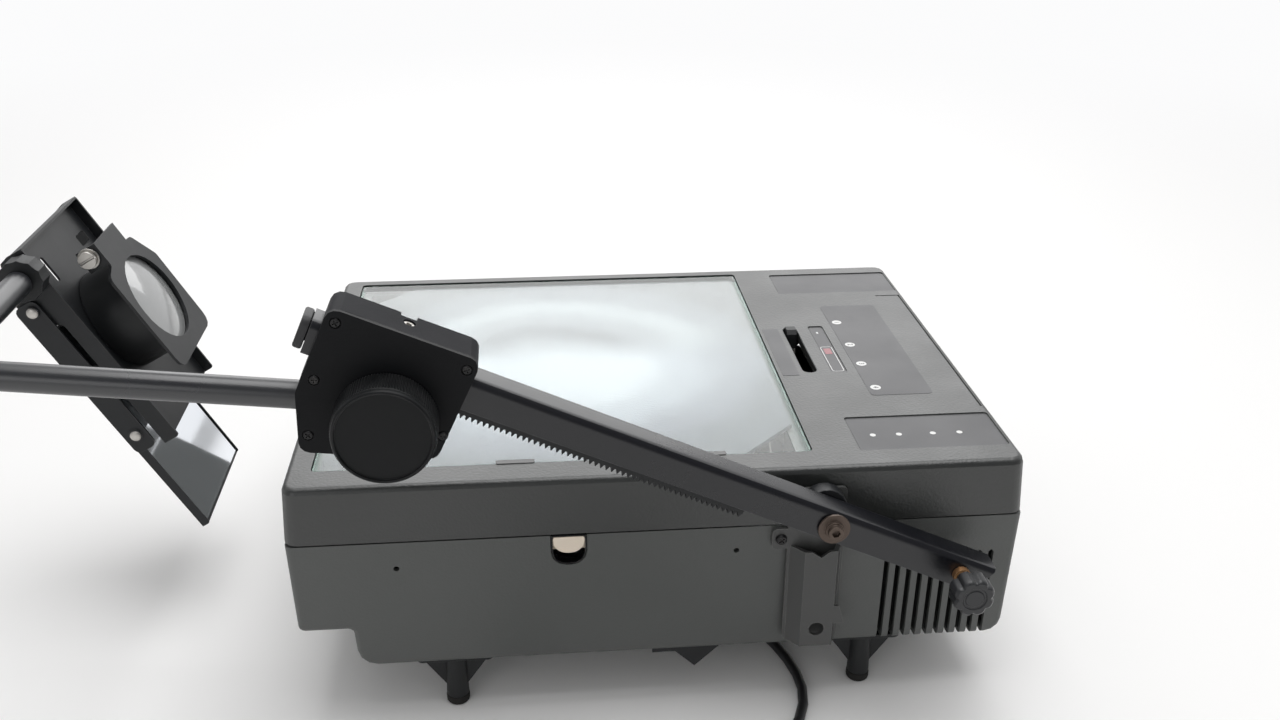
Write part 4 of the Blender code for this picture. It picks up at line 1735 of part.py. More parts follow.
def build_plug(tail, way):
    """Moulded plug at the coil's outer end, lying on top of it."""
    turn = Matrix.Translation(tail + way * FIT_GAP) @ Matrix.Rotation(math.atan2(way.y, way.x), 4, "Z")

    def moved(*shapes):
        def shape(bm):
            for each in shapes:
                each(bm)
            bm.transform(turn)

        return shape

    half = PLUG_WIDTH / 2
    tall = PLUG_HEIGHT / 2
    slim = CORD_RADIUS * 1.5
    rings = []
    for along, wide, high in (
        (0, slim, slim),
        (PLUG_NECK, slim * 1.2, slim * 1.2),
        (PLUG_NECK * 1.25, half * 0.8, tall * 0.8),
        (PLUG_NECK + PLUG_LENGTH * 0.6, half, tall),
        (PLUG_NECK + PLUG_LENGTH, half * 0.92, tall * 0.92),
    ):
        corners = slab((-wide, wide), (-high, high), min(wide, high) * 0.6)
        rings.append([(along, y, z) for y, z in fillet(corners)])
    plug = solid("cord_plug", "black_plastic", "base", moved(lambda bm: skin(bm, rings)), smooth=35)
    face = PLUG_NECK + PLUG_LENGTH
    blade = PLUG_BLADE_SHEET / 2
    for y in (-PLUG_BLADE_SPAN / 2, PLUG_BLADE_SPAN / 2):
        z = (PLUG_PIN_DROP / 2 - PLUG_BLADE_WIDTH / 2, PLUG_PIN_DROP / 2 + PLUG_BLADE_WIDTH / 2)
        join(plug, "base", moved(box((face - blade, face + PLUG_BLADE), (y - blade, y + blade), z)))
    pin = rod(PLUG_PIN_RADIUS, "X", (0, -PLUG_PIN_DROP), face - blade, face + PLUG_BLADE, 12)
    join(plug, "base", moved(pin))


def main():
    for obj in list(bpy.data.objects):
        bpy.data.objects.remove(obj, do_unlink=True)
    material("housing_grey", (0.042, 0.047, 0.042), 0.55)
    material("black_plastic", (0.012, 0.012, 0.013), 0.45)
    material("black_metal", (0.014, 0.014, 0.016), 0.42, 0.3)
    material("case_grey", (0.030, 0.031, 0.034), 0.50)
    material("grey_plastic", (0.30, 0.30, 0.30), 0.45)
    material("gloss_black", (0.006, 0.006, 0.006), 0.12)
    material("beige_plastic", (0.62, 0.55, 0.43), 0.45)
    material("rubber_black", (0.012, 0.012, 0.012), 0.85)
    material("cord_black", (0.010, 0.010, 0.010), 0.60)
    material("steel_zinc", (0.55, 0.55, 0.54), 0.35, 1.0)
    material("steel_brown", (0.16, 0.11, 0.08), 0.45, 1.0)
    material("brass_plain", (0.55, 0.33, 0.13), 0.40, 1.0)
    material("clear_glass", (0.90, 0.95, 0.93), 0.03, 0.0, 1.0)
    material("fresnel_acrylic", (0.80, 0.82, 0.84), 0.25, 0.0, 0.6)
    material("mirror_glass", (0.85, 0.87, 0.88), 0.04, 1.0)
    material("lamp_glass", (0.75, 0.76, 0.78), 0.15, 0.4)
    frame("base", (0, 0, 0), parent="")
    FRAMES["base"][0].location = (-FOOT_INSET_X, -FOOT_INSET_Y, 0)
    frame("cover_axis", (0, HINGE_Y, HINGE_Z))
    frame("cover", (0, 0, 0), parent="cover_axis")
    frame("latch", (0, 0, 0))
    frame("changer", (0, 0, 0))
    fan_low = HOUSING_BOTTOM + HOUSING_WALL + FIT_GAP
    frame("fan", (FAN_X, 0, fan_low + FAN_SIDE / 2))
    frame("mast", (PIVOT_X, 0, PIVOT_Z), MAST_TILT - math.pi)
    frame("lock", (PIVOT_X, 0, PIVOT_Z), MAST_TILT - math.pi, "mast")
    frame("carriage", (PIVOT_X, 0, PIVOT_Z), MAST_TILT - math.pi, "mast")
    frame("focus", (PIVOT_X, 0, PIVOT_Z), MAST_TILT - math.pi, "carriage")
    frame("carriage_square", (0, 0, 0), 0.0, "carriage")
    frame("head", (HEAD_X, 0, HEAD_Z), HEAD_TURN, "carriage")
    frame("clamp", (HEAD_X, 0, HEAD_Z), HEAD_TURN, "head")
    frame("swing", (HEAD_X, 0, HEAD_Z), HEAD_TURN, "head")
    frame("tilt", (HEAD_X, 0, HEAD_Z), HEAD_TURN, "swing")
    build_housing()
    build_feet()
    build_under_plate()
    build_cover()
    build_hinges()
    build_latch()
    build_changer()
    build_light_path()
    build_fan()
    build_bracket()
    build_mast()
    build_carriage()
    build_focus()
    build_arm()
    build_head()
    build_mirror()
    build_cord()


main()
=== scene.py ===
# %% [markdown]
# Overhead projector with its mast half folded.
# The imported model is loaded first, as the fixed frame that every finish and every small
# piece is set against. Its box is kept, and the lamps are aimed at its middle.

# %% Load the frame
import json
import math

import bmesh
import bpy
from mathutils import Matrix, Vector


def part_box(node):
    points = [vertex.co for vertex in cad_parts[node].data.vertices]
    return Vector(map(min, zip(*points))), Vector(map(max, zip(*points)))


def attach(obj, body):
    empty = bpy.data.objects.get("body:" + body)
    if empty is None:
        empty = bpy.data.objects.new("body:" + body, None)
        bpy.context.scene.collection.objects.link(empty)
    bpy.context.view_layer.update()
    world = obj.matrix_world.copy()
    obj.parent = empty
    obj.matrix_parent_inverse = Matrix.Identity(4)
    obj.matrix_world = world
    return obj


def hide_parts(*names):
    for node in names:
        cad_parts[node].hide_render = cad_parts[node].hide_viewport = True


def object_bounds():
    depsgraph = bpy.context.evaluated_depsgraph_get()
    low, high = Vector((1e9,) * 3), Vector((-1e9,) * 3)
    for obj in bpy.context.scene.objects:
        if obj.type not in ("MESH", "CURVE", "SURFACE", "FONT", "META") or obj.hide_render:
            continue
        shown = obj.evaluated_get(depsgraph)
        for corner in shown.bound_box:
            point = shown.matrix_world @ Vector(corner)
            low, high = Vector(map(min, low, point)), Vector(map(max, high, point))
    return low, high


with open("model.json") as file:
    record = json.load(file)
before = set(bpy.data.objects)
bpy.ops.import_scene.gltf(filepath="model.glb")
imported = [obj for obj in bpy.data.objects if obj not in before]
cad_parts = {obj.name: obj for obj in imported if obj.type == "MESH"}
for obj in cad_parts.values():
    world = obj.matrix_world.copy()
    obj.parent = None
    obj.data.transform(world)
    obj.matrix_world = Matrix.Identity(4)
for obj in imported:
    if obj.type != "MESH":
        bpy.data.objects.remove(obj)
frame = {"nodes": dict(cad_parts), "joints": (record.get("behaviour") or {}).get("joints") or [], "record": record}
cad_low, cad_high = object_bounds()
nodes = frame["nodes"]
print("frame:", len(nodes), "nodes, size", [round(side, 4) for side in cad_high - cad_low])

# %% [markdown]
# The camera stands in front of the projector and a little above it, as in the photograph.
# Its place and its three axes were found from the corners of the stage glass and of the
# cover, whose real sizes are known, so that the same corners fall on the same pixels.

# %% Stand the camera
CAMERA_PLACE = Vector((0.0498, -0.6209, 0.5117))
CAMERA_RIGHT = Vector((0.99556, -0.09398, 0.00507))
CAMERA_UP = Vector((0.03483, 0.41796, 0.90780))
CAMERA_BACK = Vector((-0.08743, -0.90359, 0.41938))
CAMERA_LENS_MM = 35.55
SENSOR_MM = 36.0


def put(name, data):
    """Makes an object of its data and links it to the scene."""
    made = bpy.data.objects.new(name, data)
    bpy.context.scene.collection.objects.link(made)
    return made


def as_mesh(name, bm):
    """A mesh with what was built in the bmesh, which ends here."""
    mesh = bpy.data.meshes.new(name)
    bm.to_mesh(mesh)
    bm.free()
    return mesh


camera_data = bpy.data.cameras.new("photo_camera")
camera_data.lens = CAMERA_LENS_MM
camera_data.sensor_width = SENSOR_MM
camera = put("photo_camera", camera_data)
axes = Matrix((CAMERA_RIGHT, CAMERA_UP, CAMERA_BACK)).transposed()
camera.matrix_world = Matrix.Translation(CAMERA_PLACE) @ axes.to_4x4()
bpy.context.scene.camera = camera
bpy.context.scene.view_settings.view_transform = "Standard"
print("camera:", round(CAMERA_PLACE.z * 1000), "mm up, looking",
      round(math.degrees(math.asin(CAMERA_BACK.z)), 1), "degrees down")

# %% [markdown]
# Every finish and every glass is wired from the same few kinds of shader node. These small
# helpers add a node with its values, join two nodes, and give the two shapes of value that
# are needed again and again: a smooth ramp between two limits, and the greater of two.

# %% Define the node helpers
def fill(node, values):
    """Sets the values of a node's inputs by name."""
    for name, value in values.items():
        node.inputs[name].default_value = value
    return node


def add(tree, kind, values=None, **settings):
    """Adds a shader node of a kind, with its properties by name and the values of its inputs."""
    node = tree.nodes.new("ShaderNode" + kind)
    for name, value in settings.items():
        setattr(node, name, value)
    return fill(node, values or {})


def wire(source, out, target, into):
    """Joins an output of one node to an input of another."""
    source.id_data.links.new(source.outputs[out], target.inputs[into])


def new_material(name, values):
    """A material, its tree, and its shader with the given plain values."""
    made = bpy.data.materials.new(name)
    made.use_nodes = True
    return made, made.node_tree, fill(made.node_tree.nodes["Principled BSDF"], values)


def ramp(tree, source, low, high):
    """Smoothly takes a value between two limits to a share from 0 to 1."""
    node = add(tree, "MapRange", {"From Min": low, "From Max": high}, interpolation_type="SMOOTHSTEP")
    tree.links.new(source, node.inputs["Value"])
    return node.outputs["Result"]


def greater(tree, first, second):
    """The greater of two values."""
    node = add(tree, "Math", operation="MAXIMUM")
    tree.links.new(first, node.inputs[0])
    tree.links.new(second, node.inputs[1])
    return node.outputs[0]


print("helpers:", ", ".join(tool.__name__ for tool in (fill, add, wire, new_material, ramp, greater)))

# %% [markdown]
# The photograph was taken on a white table in front of a white wall. The table is one large
# plane that turns plain white towards the horizon, and the wall is the world itself: the
# camera and glass see it white, while gloss sees it white behind the object and dimmer on
# the camera's side, as in a real room. A large soft lamp stands behind, where the top faces
# mirror it, and two more keep the other sides readable.

# %% Lay the floor, the wall and the lamps
FLOOR_REACH = 6.0
FLOOR_WHITE = (0.90, 0.895, 0.89)
FLOOR_ROUGHNESS = 0.6
FLOOR_GLOSS = 0.2
WALL_WHITE = (0.97, 0.97, 0.975)
ROOM_GREY = (0.17, 0.17, 0.18)
WORLD_LIGHT = 0.60
LAMPS = (
    ("lamp_behind", (0.25, 2.50, 1.45), (2.6, 1.5), 24.0),
    ("lamp_above", (0.30, 0.10, 2.10), (1.6, 1.6), 26.0),
    ("lamp_front", (-1.00, -1.80, 0.80), (1.2, 1.0), 5.3),
)
WHITE_FROM = 0.9
WHITE_BY = 2.2
WALL_FROM = -0.45
WALL_BY = 0.35


def floor_paint():
    """The table's white, which turns to the wall's white far away, where the camera looks."""
    paint, tree, shader = new_material("floor_white", {
        "Base Color": (*FLOOR_WHITE, 1),
        "Roughness": FLOOR_ROUGHNESS,
        "Specular IOR Level": FLOOR_GLOSS,
    })
    glow = add(tree, "Emission", {"Color": (*WALL_WHITE, 1)})
    place = add(tree, "TexCoord")
    away = add(tree, "VectorMath", operation="LENGTH")
    path = add(tree, "LightPath")
    far = add(tree, "Math", operation="MULTIPLY")
    mix = add(tree, "MixShader")
    wire(place, "Object", away, 0)
    tree.links.new(ramp(tree, away.outputs["Value"], WHITE_FROM, WHITE_BY), far.inputs[0])
    wire(path, "Is Camera Ray", far, 1)
    wire(far, 0, mix, 0)
    wire(shader, 0, mix, 1)
    wire(glow, 0, mix, 2)
    wire(mix, 0, tree.nodes["Material Output"], "Surface")
    return paint


def lay_floor():
    bm = bmesh.new()
    bmesh.ops.create_grid(bm, x_segments=1, y_segments=1, size=FLOOR_REACH)
    mesh = as_mesh("floor", bm)
    mesh.materials.append(floor_paint())
    put("floor", mesh)


def hang_lamps():
    middle = (cad_low + cad_high) / 2
    for name, place, size, power in LAMPS:
        data = bpy.data.lights.new(name, "AREA")
        data.shape = "RECTANGLE"
        data.size, data.size_y = size
        data.energy = power
        lamp = put(name, data)
        lamp.location = place
        lamp.rotation_euler = (middle - Vector(place)).to_track_quat("-Z", "Y").to_euler()
        lamp.visible_camera = False


def light_world():
    world = bpy.data.worlds.new("white_room")
    bpy.context.scene.world = world
    world.use_nodes = True
    tree = world.node_tree
    tree.nodes.clear()
    path = add(tree, "LightPath")
    way = add(tree, "TexCoord")
    split = add(tree, "SeparateXYZ")
    wire(way, "Generated", split, 0)
    straight = greater(tree, path.outputs["Is Camera Ray"], path.outputs["Is Transmission Ray"])
    walled = greater(tree, straight, ramp(tree, split.outputs["Y"], WALL_FROM, WALL_BY))
    colour = add(tree, "Mix", {"A": (*ROOM_GREY, 1), "B": (*WALL_WHITE, 1)}, data_type="RGBA")
    seen = add(tree, "Background")
    light = add(tree, "Background", {"Strength": WORLD_LIGHT})
    mix = add(tree, "MixShader")
    tree.links.new(walled, colour.inputs["Factor"])
    wire(colour, "Result", seen, "Color")
    tree.links.new(greater(tree, straight, path.outputs["Is Glossy Ray"]), mix.inputs[0])
    wire(light, 0, mix, 1)
    wire(seen, 0, mix, 2)
    wire(mix, 0, add(tree, "OutputWorld"), "Surface")


lay_floor()
hang_lamps()
light_world()
print("stage: floor", FLOOR_REACH * 2, "m wide,", len(LAMPS), "lamps")

# %% [markdown]
# Three effects are laid on almost every surface: a fine moulded or painted grain, paler
# edges, which are partly rubbed bare by handling and partly a painted highlight that stands
# for the light caught by rounded edges, and slow changes of tone where hands and dust have
# been. Each is a shader node group, built once and placed in each finish with its own
# numbers. The edge group compares the true normal with a rounded one, so it finds edges
# on any mesh, also on one made of loose triangles.

# %% Build the shared shader groups
GRAIN_SOFTNESS = 0.7
GRAIN_DETAIL = 4.0
EDGE_SAMPLES = 4
EDGE_FLAT = 0.995
EDGE_FULL = 0.86
EDGE_WEAR_AND_HIGHLIGHT_DETAIL = 6.0
EDGE_WEAR_AND_HIGHLIGHT_SPREAD = {"From Min": 0.38, "From Max": 0.66}
MARK_NOISE = {"Detail": 7.0, "Roughness": 0.62}
MARK_SPREAD = {"From Min": 0.32, "From Max": 0.68}


def new_group(name, inputs, outputs):
    """Makes an empty shader group with named float inputs and typed outputs."""
    group = bpy.data.node_groups.new(name, "ShaderNodeTree")
    for label, value in inputs:
        socket = group.interface.new_socket(name=label, in_out="INPUT", socket_type="NodeSocketFloat")
        socket.default_value = value
    for label, kind in outputs:
        group.interface.new_socket(name=label, in_out="OUTPUT", socket_type=kind)
    return group, group.nodes.new("NodeGroupInput"), group.nodes.new("NodeGroupOutput")


def grain_group():
    group, given, out = new_group(
        "moulded_grain",
        (("Scale", 900.0), ("Depth", 0.0001), ("Strength", 0.5)),
        (("Normal", "NodeSocketVector"), ("Height", "NodeSocketFloat")),
    )
    place = add(group, "TexCoord")
    cells = add(group, "TexVoronoi", {"Smoothness": GRAIN_SOFTNESS}, feature="SMOOTH_F1")
    soft = add(group, "TexNoise", {"Detail": GRAIN_DETAIL})
    mix = add(group, "Math", operation="ADD")
    bump = add(group, "Bump")
    for texture in (cells, soft):
        wire(place, "Object", texture, "Vector")
        wire(given, "Scale", texture, "Scale")
    wire(cells, "Distance", mix, 0)
    wire(soft, "Fac", mix, 1)
    wire(mix, 0, bump, "Height")
    wire(given, "Depth", bump, "Distance")
    wire(given, "Strength", bump, "Strength")
    wire(bump, "Normal", out, "Normal")
    wire(mix, 0, out, "Height")
    return group


# Paler edges: partly rubbed wear and partly a painted highlight on the edges.
def wear_group():
    group, given, out = new_group(
        "rubbed_edges",
        (("Width", 0.0008), ("Amount", 0.5), ("Scale", 60.0)),
        (("Mask", "NodeSocketFloat"),),
    )
    place = add(group, "TexCoord")
    rounded = add(group, "Bevel", samples=EDGE_SAMPLES)
    true = add(group, "NewGeometry")
    dot = add(group, "VectorMath", operation="DOT_PRODUCT")
    edge = add(group, "MapRange", {"From Min": EDGE_FLAT, "From Max": EDGE_FULL})
    patchy = add(group, "TexNoise", {"Detail": EDGE_WEAR_AND_HIGHLIGHT_DETAIL})
    spread = add(group, "MapRange", EDGE_WEAR_AND_HIGHLIGHT_SPREAD)
    both = add(group, "Math", operation="MULTIPLY")
    scaled = add(group, "Math", operation="MULTIPLY", use_clamp=True)
    wire(given, "Width", rounded, "Radius")
    wire(rounded, "Normal", dot, 0)
    wire(true, "Normal", dot, 1)
    wire(dot, "Value", edge, "Value")
    wire(place, "Object", patchy, "Vector")
    wire(given, "Scale", patchy, "Scale")
    wire(patchy, "Fac", spread, "Value")
    wire(edge, "Result", both, 0)
    wire(spread, "Result", both, 1)
    wire(both, 0, scaled, 0)
    wire(given, "Amount", scaled, 1)
    wire(scaled, 0, out, "Mask")
    return group


def handling_group():
    group, given, out = new_group(
        "handling_marks",
        (("Scale", 9.0), ("Low", 0.35), ("High", 0.55)),
        (("Roughness", "NodeSocketFloat"), ("Tone", "NodeSocketFloat")),
    )
    place = add(group, "TexCoord")
    broad = add(group, "TexNoise", MARK_NOISE)
    spread = add(group, "MapRange", MARK_SPREAD)
    wire(place, "Object", broad, "Vector")
    wire(given, "Scale", broad, "Scale")
    wire(broad, "Fac", spread, "Value")
    wire(given, "Low", spread, "To Min")
    wire(given, "High", spread, "To Max")
    wire(spread, "Result", out, "Roughness")
    wire(broad, "Fac", out, "Tone")
    return group


GRAIN = grain_group()
EDGE_WEAR_AND_HIGHLIGHT = wear_group()
HANDLING = handling_group()
print("groups:", GRAIN.name, EDGE_WEAR_AND_HIGHLIGHT.name, HANDLING.name)

# %% [markdown]
# A finish is a plain Principled shader with the three groups around it. The base colour
# drifts a little with the handling marks and turns to a paler colour on the edges, which is
# partly rubbed wear and partly a painted highlight, the roughness follows the same marks, and
# the grain gives the bump. What is the same all over a surface, such as the gloss level, is set
# on the shader itself. Each row of looks gives a colour, the lowest and highest roughness, and
# what differs from the usual.

# %% Define a finish
# The paler edge colour, partly rubbed wear and partly a painted highlight, is the base colour raised by these two
# numbers.
RUB_AND_HIGHLIGHT_GAIN = 3
RUB_AND_HIGHLIGHT_LIFT = 0.03


def placed_group(tree, group, **values):
    """A group set in a tree with its own numbers."""
    return add(tree, "Group", values, node_tree=group)


def finish(name, colour, rough, grain=(900.0, 0.00008, 0.4), wear_and_highlight=(0.0006, 0.4), worn_and_highlit=None, drift=0.10,
           metallic=0.0, specular=0.5, coat=0.0):
    """One material: rough is its lowest and highest roughness, grain its scale, depth and strength."""
    made, tree, shader = new_material(name, {
        "Metallic": metallic,
        "Specular IOR Level": specular,
        "Coat Weight": coat,
    })
    marks = placed_group(tree, HANDLING, Low=rough[0], High=rough[1])
    surface = placed_group(tree, GRAIN, Scale=grain[0], Depth=grain[1], Strength=grain[2])
    edges = placed_group(tree, EDGE_WEAR_AND_HIGHLIGHT, Width=wear_and_highlight[0], Amount=wear_and_highlight[1])
    darker = (*[c * (1 - drift) for c in colour], 1)
    paler = (*[min(c * (1 + drift), 1) for c in colour], 1)
    # Paler colour on the edges: partly rubbed wear, partly a painted highlight.
    bare_and_highlit = (*(worn_and_highlit or [min(c * RUB_AND_HIGHLIGHT_GAIN + RUB_AND_HIGHLIGHT_LIFT, 1) for c in colour]), 1)
    tones = add(tree, "Mix", {"A": darker, "B": paler}, data_type="RGBA")
    rubbed_and_highlit = add(tree, "Mix", {"B": bare_and_highlit}, data_type="RGBA")
    wire(marks, "Tone", tones, "Factor")
    wire(tones, "Result", rubbed_and_highlit, "A")
    wire(edges, "Mask", rubbed_and_highlit, "Factor")
    wire(rubbed_and_highlit, "Result", shader, "Base Color")
    wire(marks, "Roughness", shader, "Roughness")
    wire(surface, "Normal", shader, "Normal")
    return made


# Edge colours, partly rubbed wear and partly a painted highlight.
PALE_RUB_AND_HIGHLIGHT = (0.17, 0.175, 0.165)
GREY_RUB_AND_HIGHLIGHT = (0.20, 0.20, 0.20)
MOULD_GRAIN = (620.0, 0.00016, 0.55)
MOULD_WEAR_AND_HIGHLIGHT = (0.0009, 0.30)
KNOB_GRAIN = (1800.0, 0.00004, 0.30)
KNOB_WEAR_AND_HIGHLIGHT = (0.0006, 0.45)
PAINT_GRAIN = (1500.0, 0.00005, 0.45)
LOOKS = {
    "housing_moulding": ((0.076, 0.080, 0.077), (0.40, 0.56), dict(
        grain=MOULD_GRAIN, wear_and_highlight=MOULD_WEAR_AND_HIGHLIGHT, worn_and_highlit=PALE_RUB_AND_HIGHLIGHT, drift=0.12, specular=0.6)),
    "cover_moulding": ((0.021, 0.023, 0.022), (0.34, 0.46), dict(
        grain=MOULD_GRAIN, wear_and_highlight=MOULD_WEAR_AND_HIGHLIGHT, worn_and_highlit=PALE_RUB_AND_HIGHLIGHT, drift=0.12, specular=0.82)),
    "black_moulding": ((0.012, 0.013, 0.014), (0.38, 0.54), dict(
        grain=(1400.0, 0.00006, 0.35), specular=0.35)),
    "knob_moulding": ((0.0062, 0.0068, 0.0075), (0.36, 0.50), dict(
        grain=KNOB_GRAIN, wear_and_highlight=KNOB_WEAR_AND_HIGHLIGHT, worn_and_highlit=(0.11, 0.11, 0.11), specular=0.20)),
    "lock_moulding": ((0.020, 0.021, 0.023), (0.30, 0.44), dict(
        grain=KNOB_GRAIN, wear_and_highlight=KNOB_WEAR_AND_HIGHLIGHT, worn_and_highlit=(0.16, 0.16, 0.16))),
    "plate_paint": ((0.0052, 0.0056, 0.0066), (0.42, 0.58), dict(
        grain=PAINT_GRAIN, wear_and_highlight=(0.0005, 0.35), worn_and_highlit=(0.12, 0.12, 0.12), specular=0.16)),
    "tube_paint": ((0.016, 0.017, 0.020), (0.24, 0.34), dict(
        grain=(1500.0, 0.00004, 0.40), wear_and_highlight=(0.0005, 0.40), worn_and_highlit=GREY_RUB_AND_HIGHLIGHT, specular=0.9)),
    "bracket_paint": ((0.060, 0.061, 0.060), (0.34, 0.50), dict(
        grain=PAINT_GRAIN, wear_and_highlight=(0.0006, 0.70), worn_and_highlit=(0.26, 0.26, 0.25), drift=0.2)),
    "black_paint": ((0.011, 0.012, 0.0135), (0.36, 0.52), dict(
        grain=PAINT_GRAIN, wear_and_highlight=(0.0005, 0.50), worn_and_highlit=GREY_RUB_AND_HIGHLIGHT, specular=0.38)),
    "mast_paint": ((0.0042, 0.0046, 0.0070), (0.25, 0.36), dict(
        grain=(1300.0, 0.00006, 0.50), wear_and_highlight=(0.0005, 0.60), worn_and_highlit=(0.22, 0.22, 0.23), specular=0.62)),
    "case_casting": ((0.009, 0.0095, 0.012), (0.40, 0.56), dict(
        grain=(1000.0, 0.00009, 0.50), wear_and_highlight=(0.0007, 0.40), worn_and_highlit=GREY_RUB_AND_HIGHLIGHT, specular=0.05)),
    "end_cap_moulding": ((0.030, 0.030, 0.032), (0.42, 0.56), dict(specular=0.35)),
    "gloss_moulding": ((0.006, 0.006, 0.007), (0.08, 0.16), dict(
        grain=(400.0, 0.00001, 0.10), coat=0.5)),
    "cream_moulding": ((0.80, 0.70, 0.58), (0.34, 0.48), dict(
        grain=(1500.0, 0.00003, 0.25), worn_and_highlit=(0.84, 0.77, 0.66))),
    "foot_rubber": ((0.018, 0.017, 0.016), (0.70, 0.90), dict(
        grain=(1200.0, 0.00010, 0.50), specular=0.3)),
    "cord_sheath": ((0.011, 0.011, 0.012), (0.38, 0.50), dict(
        grain=(1500.0, 0.00004, 0.30), specular=0.4)),
    "zinc_steel": ((0.52, 0.50, 0.47), (0.28, 0.46), dict(
        grain=(500.0, 0.00004, 0.25), metallic=1.0, drift=0.22)),
    "dark_steel": ((0.10, 0.10, 0.10), (0.32, 0.50), dict(grain=(900.0, 0.00004, 0.30), metallic=0.8)),
    "brown_steel": ((0.105, 0.080, 0.066), (0.36, 0.56), dict(
        grain=(500.0, 0.00010, 0.60), wear_and_highlight=(0.0005, 0.6), worn_and_highlit=(0.34, 0.27, 0.21), drift=0.35,
        metallic=0.75)),
    "brass": ((0.50, 0.27, 0.13), (0.30, 0.50), dict(
        grain=(600.0, 0.00005, 0.30), drift=0.25, metallic=0.9)),
    "mirror_metal": ((0.86, 0.89, 0.93), (0.02, 0.09), dict(
        grain=(300.0, 0.00001, 0.05), wear_and_highlight=(0.0005, 0.20), worn_and_highlit=(0.30, 0.31, 0.33), drift=0.05,
        metallic=1.0)),
}
PLAIN_FINISHES = {name: finish(name, colour, rough, **rest) for name, (colour, rough, rest) in LOOKS.items()}
print("finishes:", len(PLAIN_FINISHES))

# %% [markdown]
# Glass and the clear acrylic lens let light through, so their shader is kept plain and only
# the normal, the roughness and the colour change over the surface. The stage lens is a flat
# sheet with thousands of cut rings. Seen against the light box it looks like a bright white
# disc that is darker towards its corners, so light is painted into its colour: a painted glow
# that follows the distance from the middle and turns to painted shade towards the corners,
# with one row of tones in front and one behind, where a painted dark arc stands for a
# reflection, and fine rings are cut into the bump.

# %% Define the glasses
LENS_MIDDLE = sum(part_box("fresnel_lens"), Vector()) / 2
PANE_LOW, PANE_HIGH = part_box("stage_glass")
PANE_RIM = 0.0016
PANE_BEND = 1.3
PANE_GLOSS = 0.25
PANE_CLEAR = (0.93, 0.97, 0.955)
PANE_GREEN = (0.40, 0.68, 0.57)
RING_SCALE = 420.0
RING_GLOSS = 0.2
RING_MARKS = {"Scale": 14.0, "Low": 0.30, "High": 0.42}
RING_DEPTH = {"Distance": 0.00005, "Strength": 0.04}
GLOW_WOBBLE = 0.05
DISC_START = 0.025
BACK_FROM = -0.01
BACK_BY = 0.04
# Painted light on the stage lens by distance from its middle: a painted glow that turns to painted shade towards
# the corners; behind, a painted dark arc stands for a reflection.
FRONT_PAINTED_LIGHT = (
    (0.000, (0.60, 0.62, 0.67)),
    (0.050, (0.56, 0.58, 0.63)),
    (0.085, (0.38, 0.40, 0.45)),
    (0.120, (0.19, 0.20, 0.24)),
    (0.150, (0.10, 0.11, 0.13)),
    (0.205, (0.04, 0.045, 0.055)),
)
BACK_PAINTED_LIGHT = (
    (0.000, (0.46, 0.47, 0.50)),
    (0.026, (0.30, 0.31, 0.34)),
    (0.050, (0.15, 0.155, 0.18)),
    (0.072, (0.26, 0.27, 0.30)),
    (0.095, (0.36, 0.38, 0.41)),
    (0.120, (0.17, 0.18, 0.21)),
    (0.150, (0.07, 0.075, 0.09)),
    (0.205, (0.03, 0.033, 0.04)),
)


def axis_value(tree, vector, axis, offset=0.0, absolute=False):
    """One coordinate of a vector, moved by an offset."""
    split = add(tree, "SeparateXYZ")
    tree.links.new(vector, split.inputs[0])
    moved = add(tree, "Math", {1: offset}, operation="ADD")
    wire(split, axis, moved, 0)
    if not absolute:
        return moved.outputs[0]
    size = add(tree, "Math", operation="ABSOLUTE")
    wire(moved, 0, size, 0)
    return size.outputs[0]


def tone_ramp(tree, value, tones):
    """Colours set at given values, joined smoothly."""
    node = add(tree, "ValToRGB")
    node.color_ramp.interpolation = "EASE"
    stops = node.color_ramp.elements
    while len(stops) < len(tones):
        stops.new(0.5)
    for stop, (place, colour) in zip(stops, tones):
        stop.position = place
        stop.color = (*colour, 1)
    tree.links.new(value, node.inputs["Fac"])
    return node.outputs["Color"]


def clear_glass(name, tint, rough=0.02, bend=1.5, mirrored=0.5, clear=1.0, coat=0.0):
    """Glass that is a little smeared: tint is its colour, clear the share of light let through."""
    made, tree, shader = new_material(name, {
        "Base Color": (*tint, 1),
        "Transmission Weight": clear,
        "IOR": bend,
        "Specular IOR Level": mirrored,
        "Coat Weight": coat,
    })
    marks = placed_group(tree, HANDLING, Low=rough, High=rough * 3)
    wire(marks, "Roughness", shader, "Roughness")
    return made


def stage_pane():
    """Float glass: clear through its faces, green where its cut rim is seen."""
    made = clear_glass("stage_pane", PANE_CLEAR, bend=PANE_BEND, mirrored=PANE_GLOSS)
    tree = made.node_tree
    place = add(tree, "TexCoord").outputs["Object"]
    middle = (PANE_LOW + PANE_HIGH) / 2
    half = (PANE_HIGH - PANE_LOW) / 2
    across = axis_value(tree, place, "X", -middle.x, True)
    along = axis_value(tree, place, "Y", -middle.y, True)
    rim = ramp(tree, greater(tree, across, along), half.x - PANE_RIM, half.x - PANE_RIM / 3)
    tint = add(tree, "Mix", {"A": (*PANE_CLEAR, 1), "B": (*PANE_GREEN, 1)}, data_type="RGBA")
    tree.links.new(rim, tint.inputs["Factor"])
    wire(tint, "Result", tree.nodes["Principled BSDF"], "Base Color")
    return made


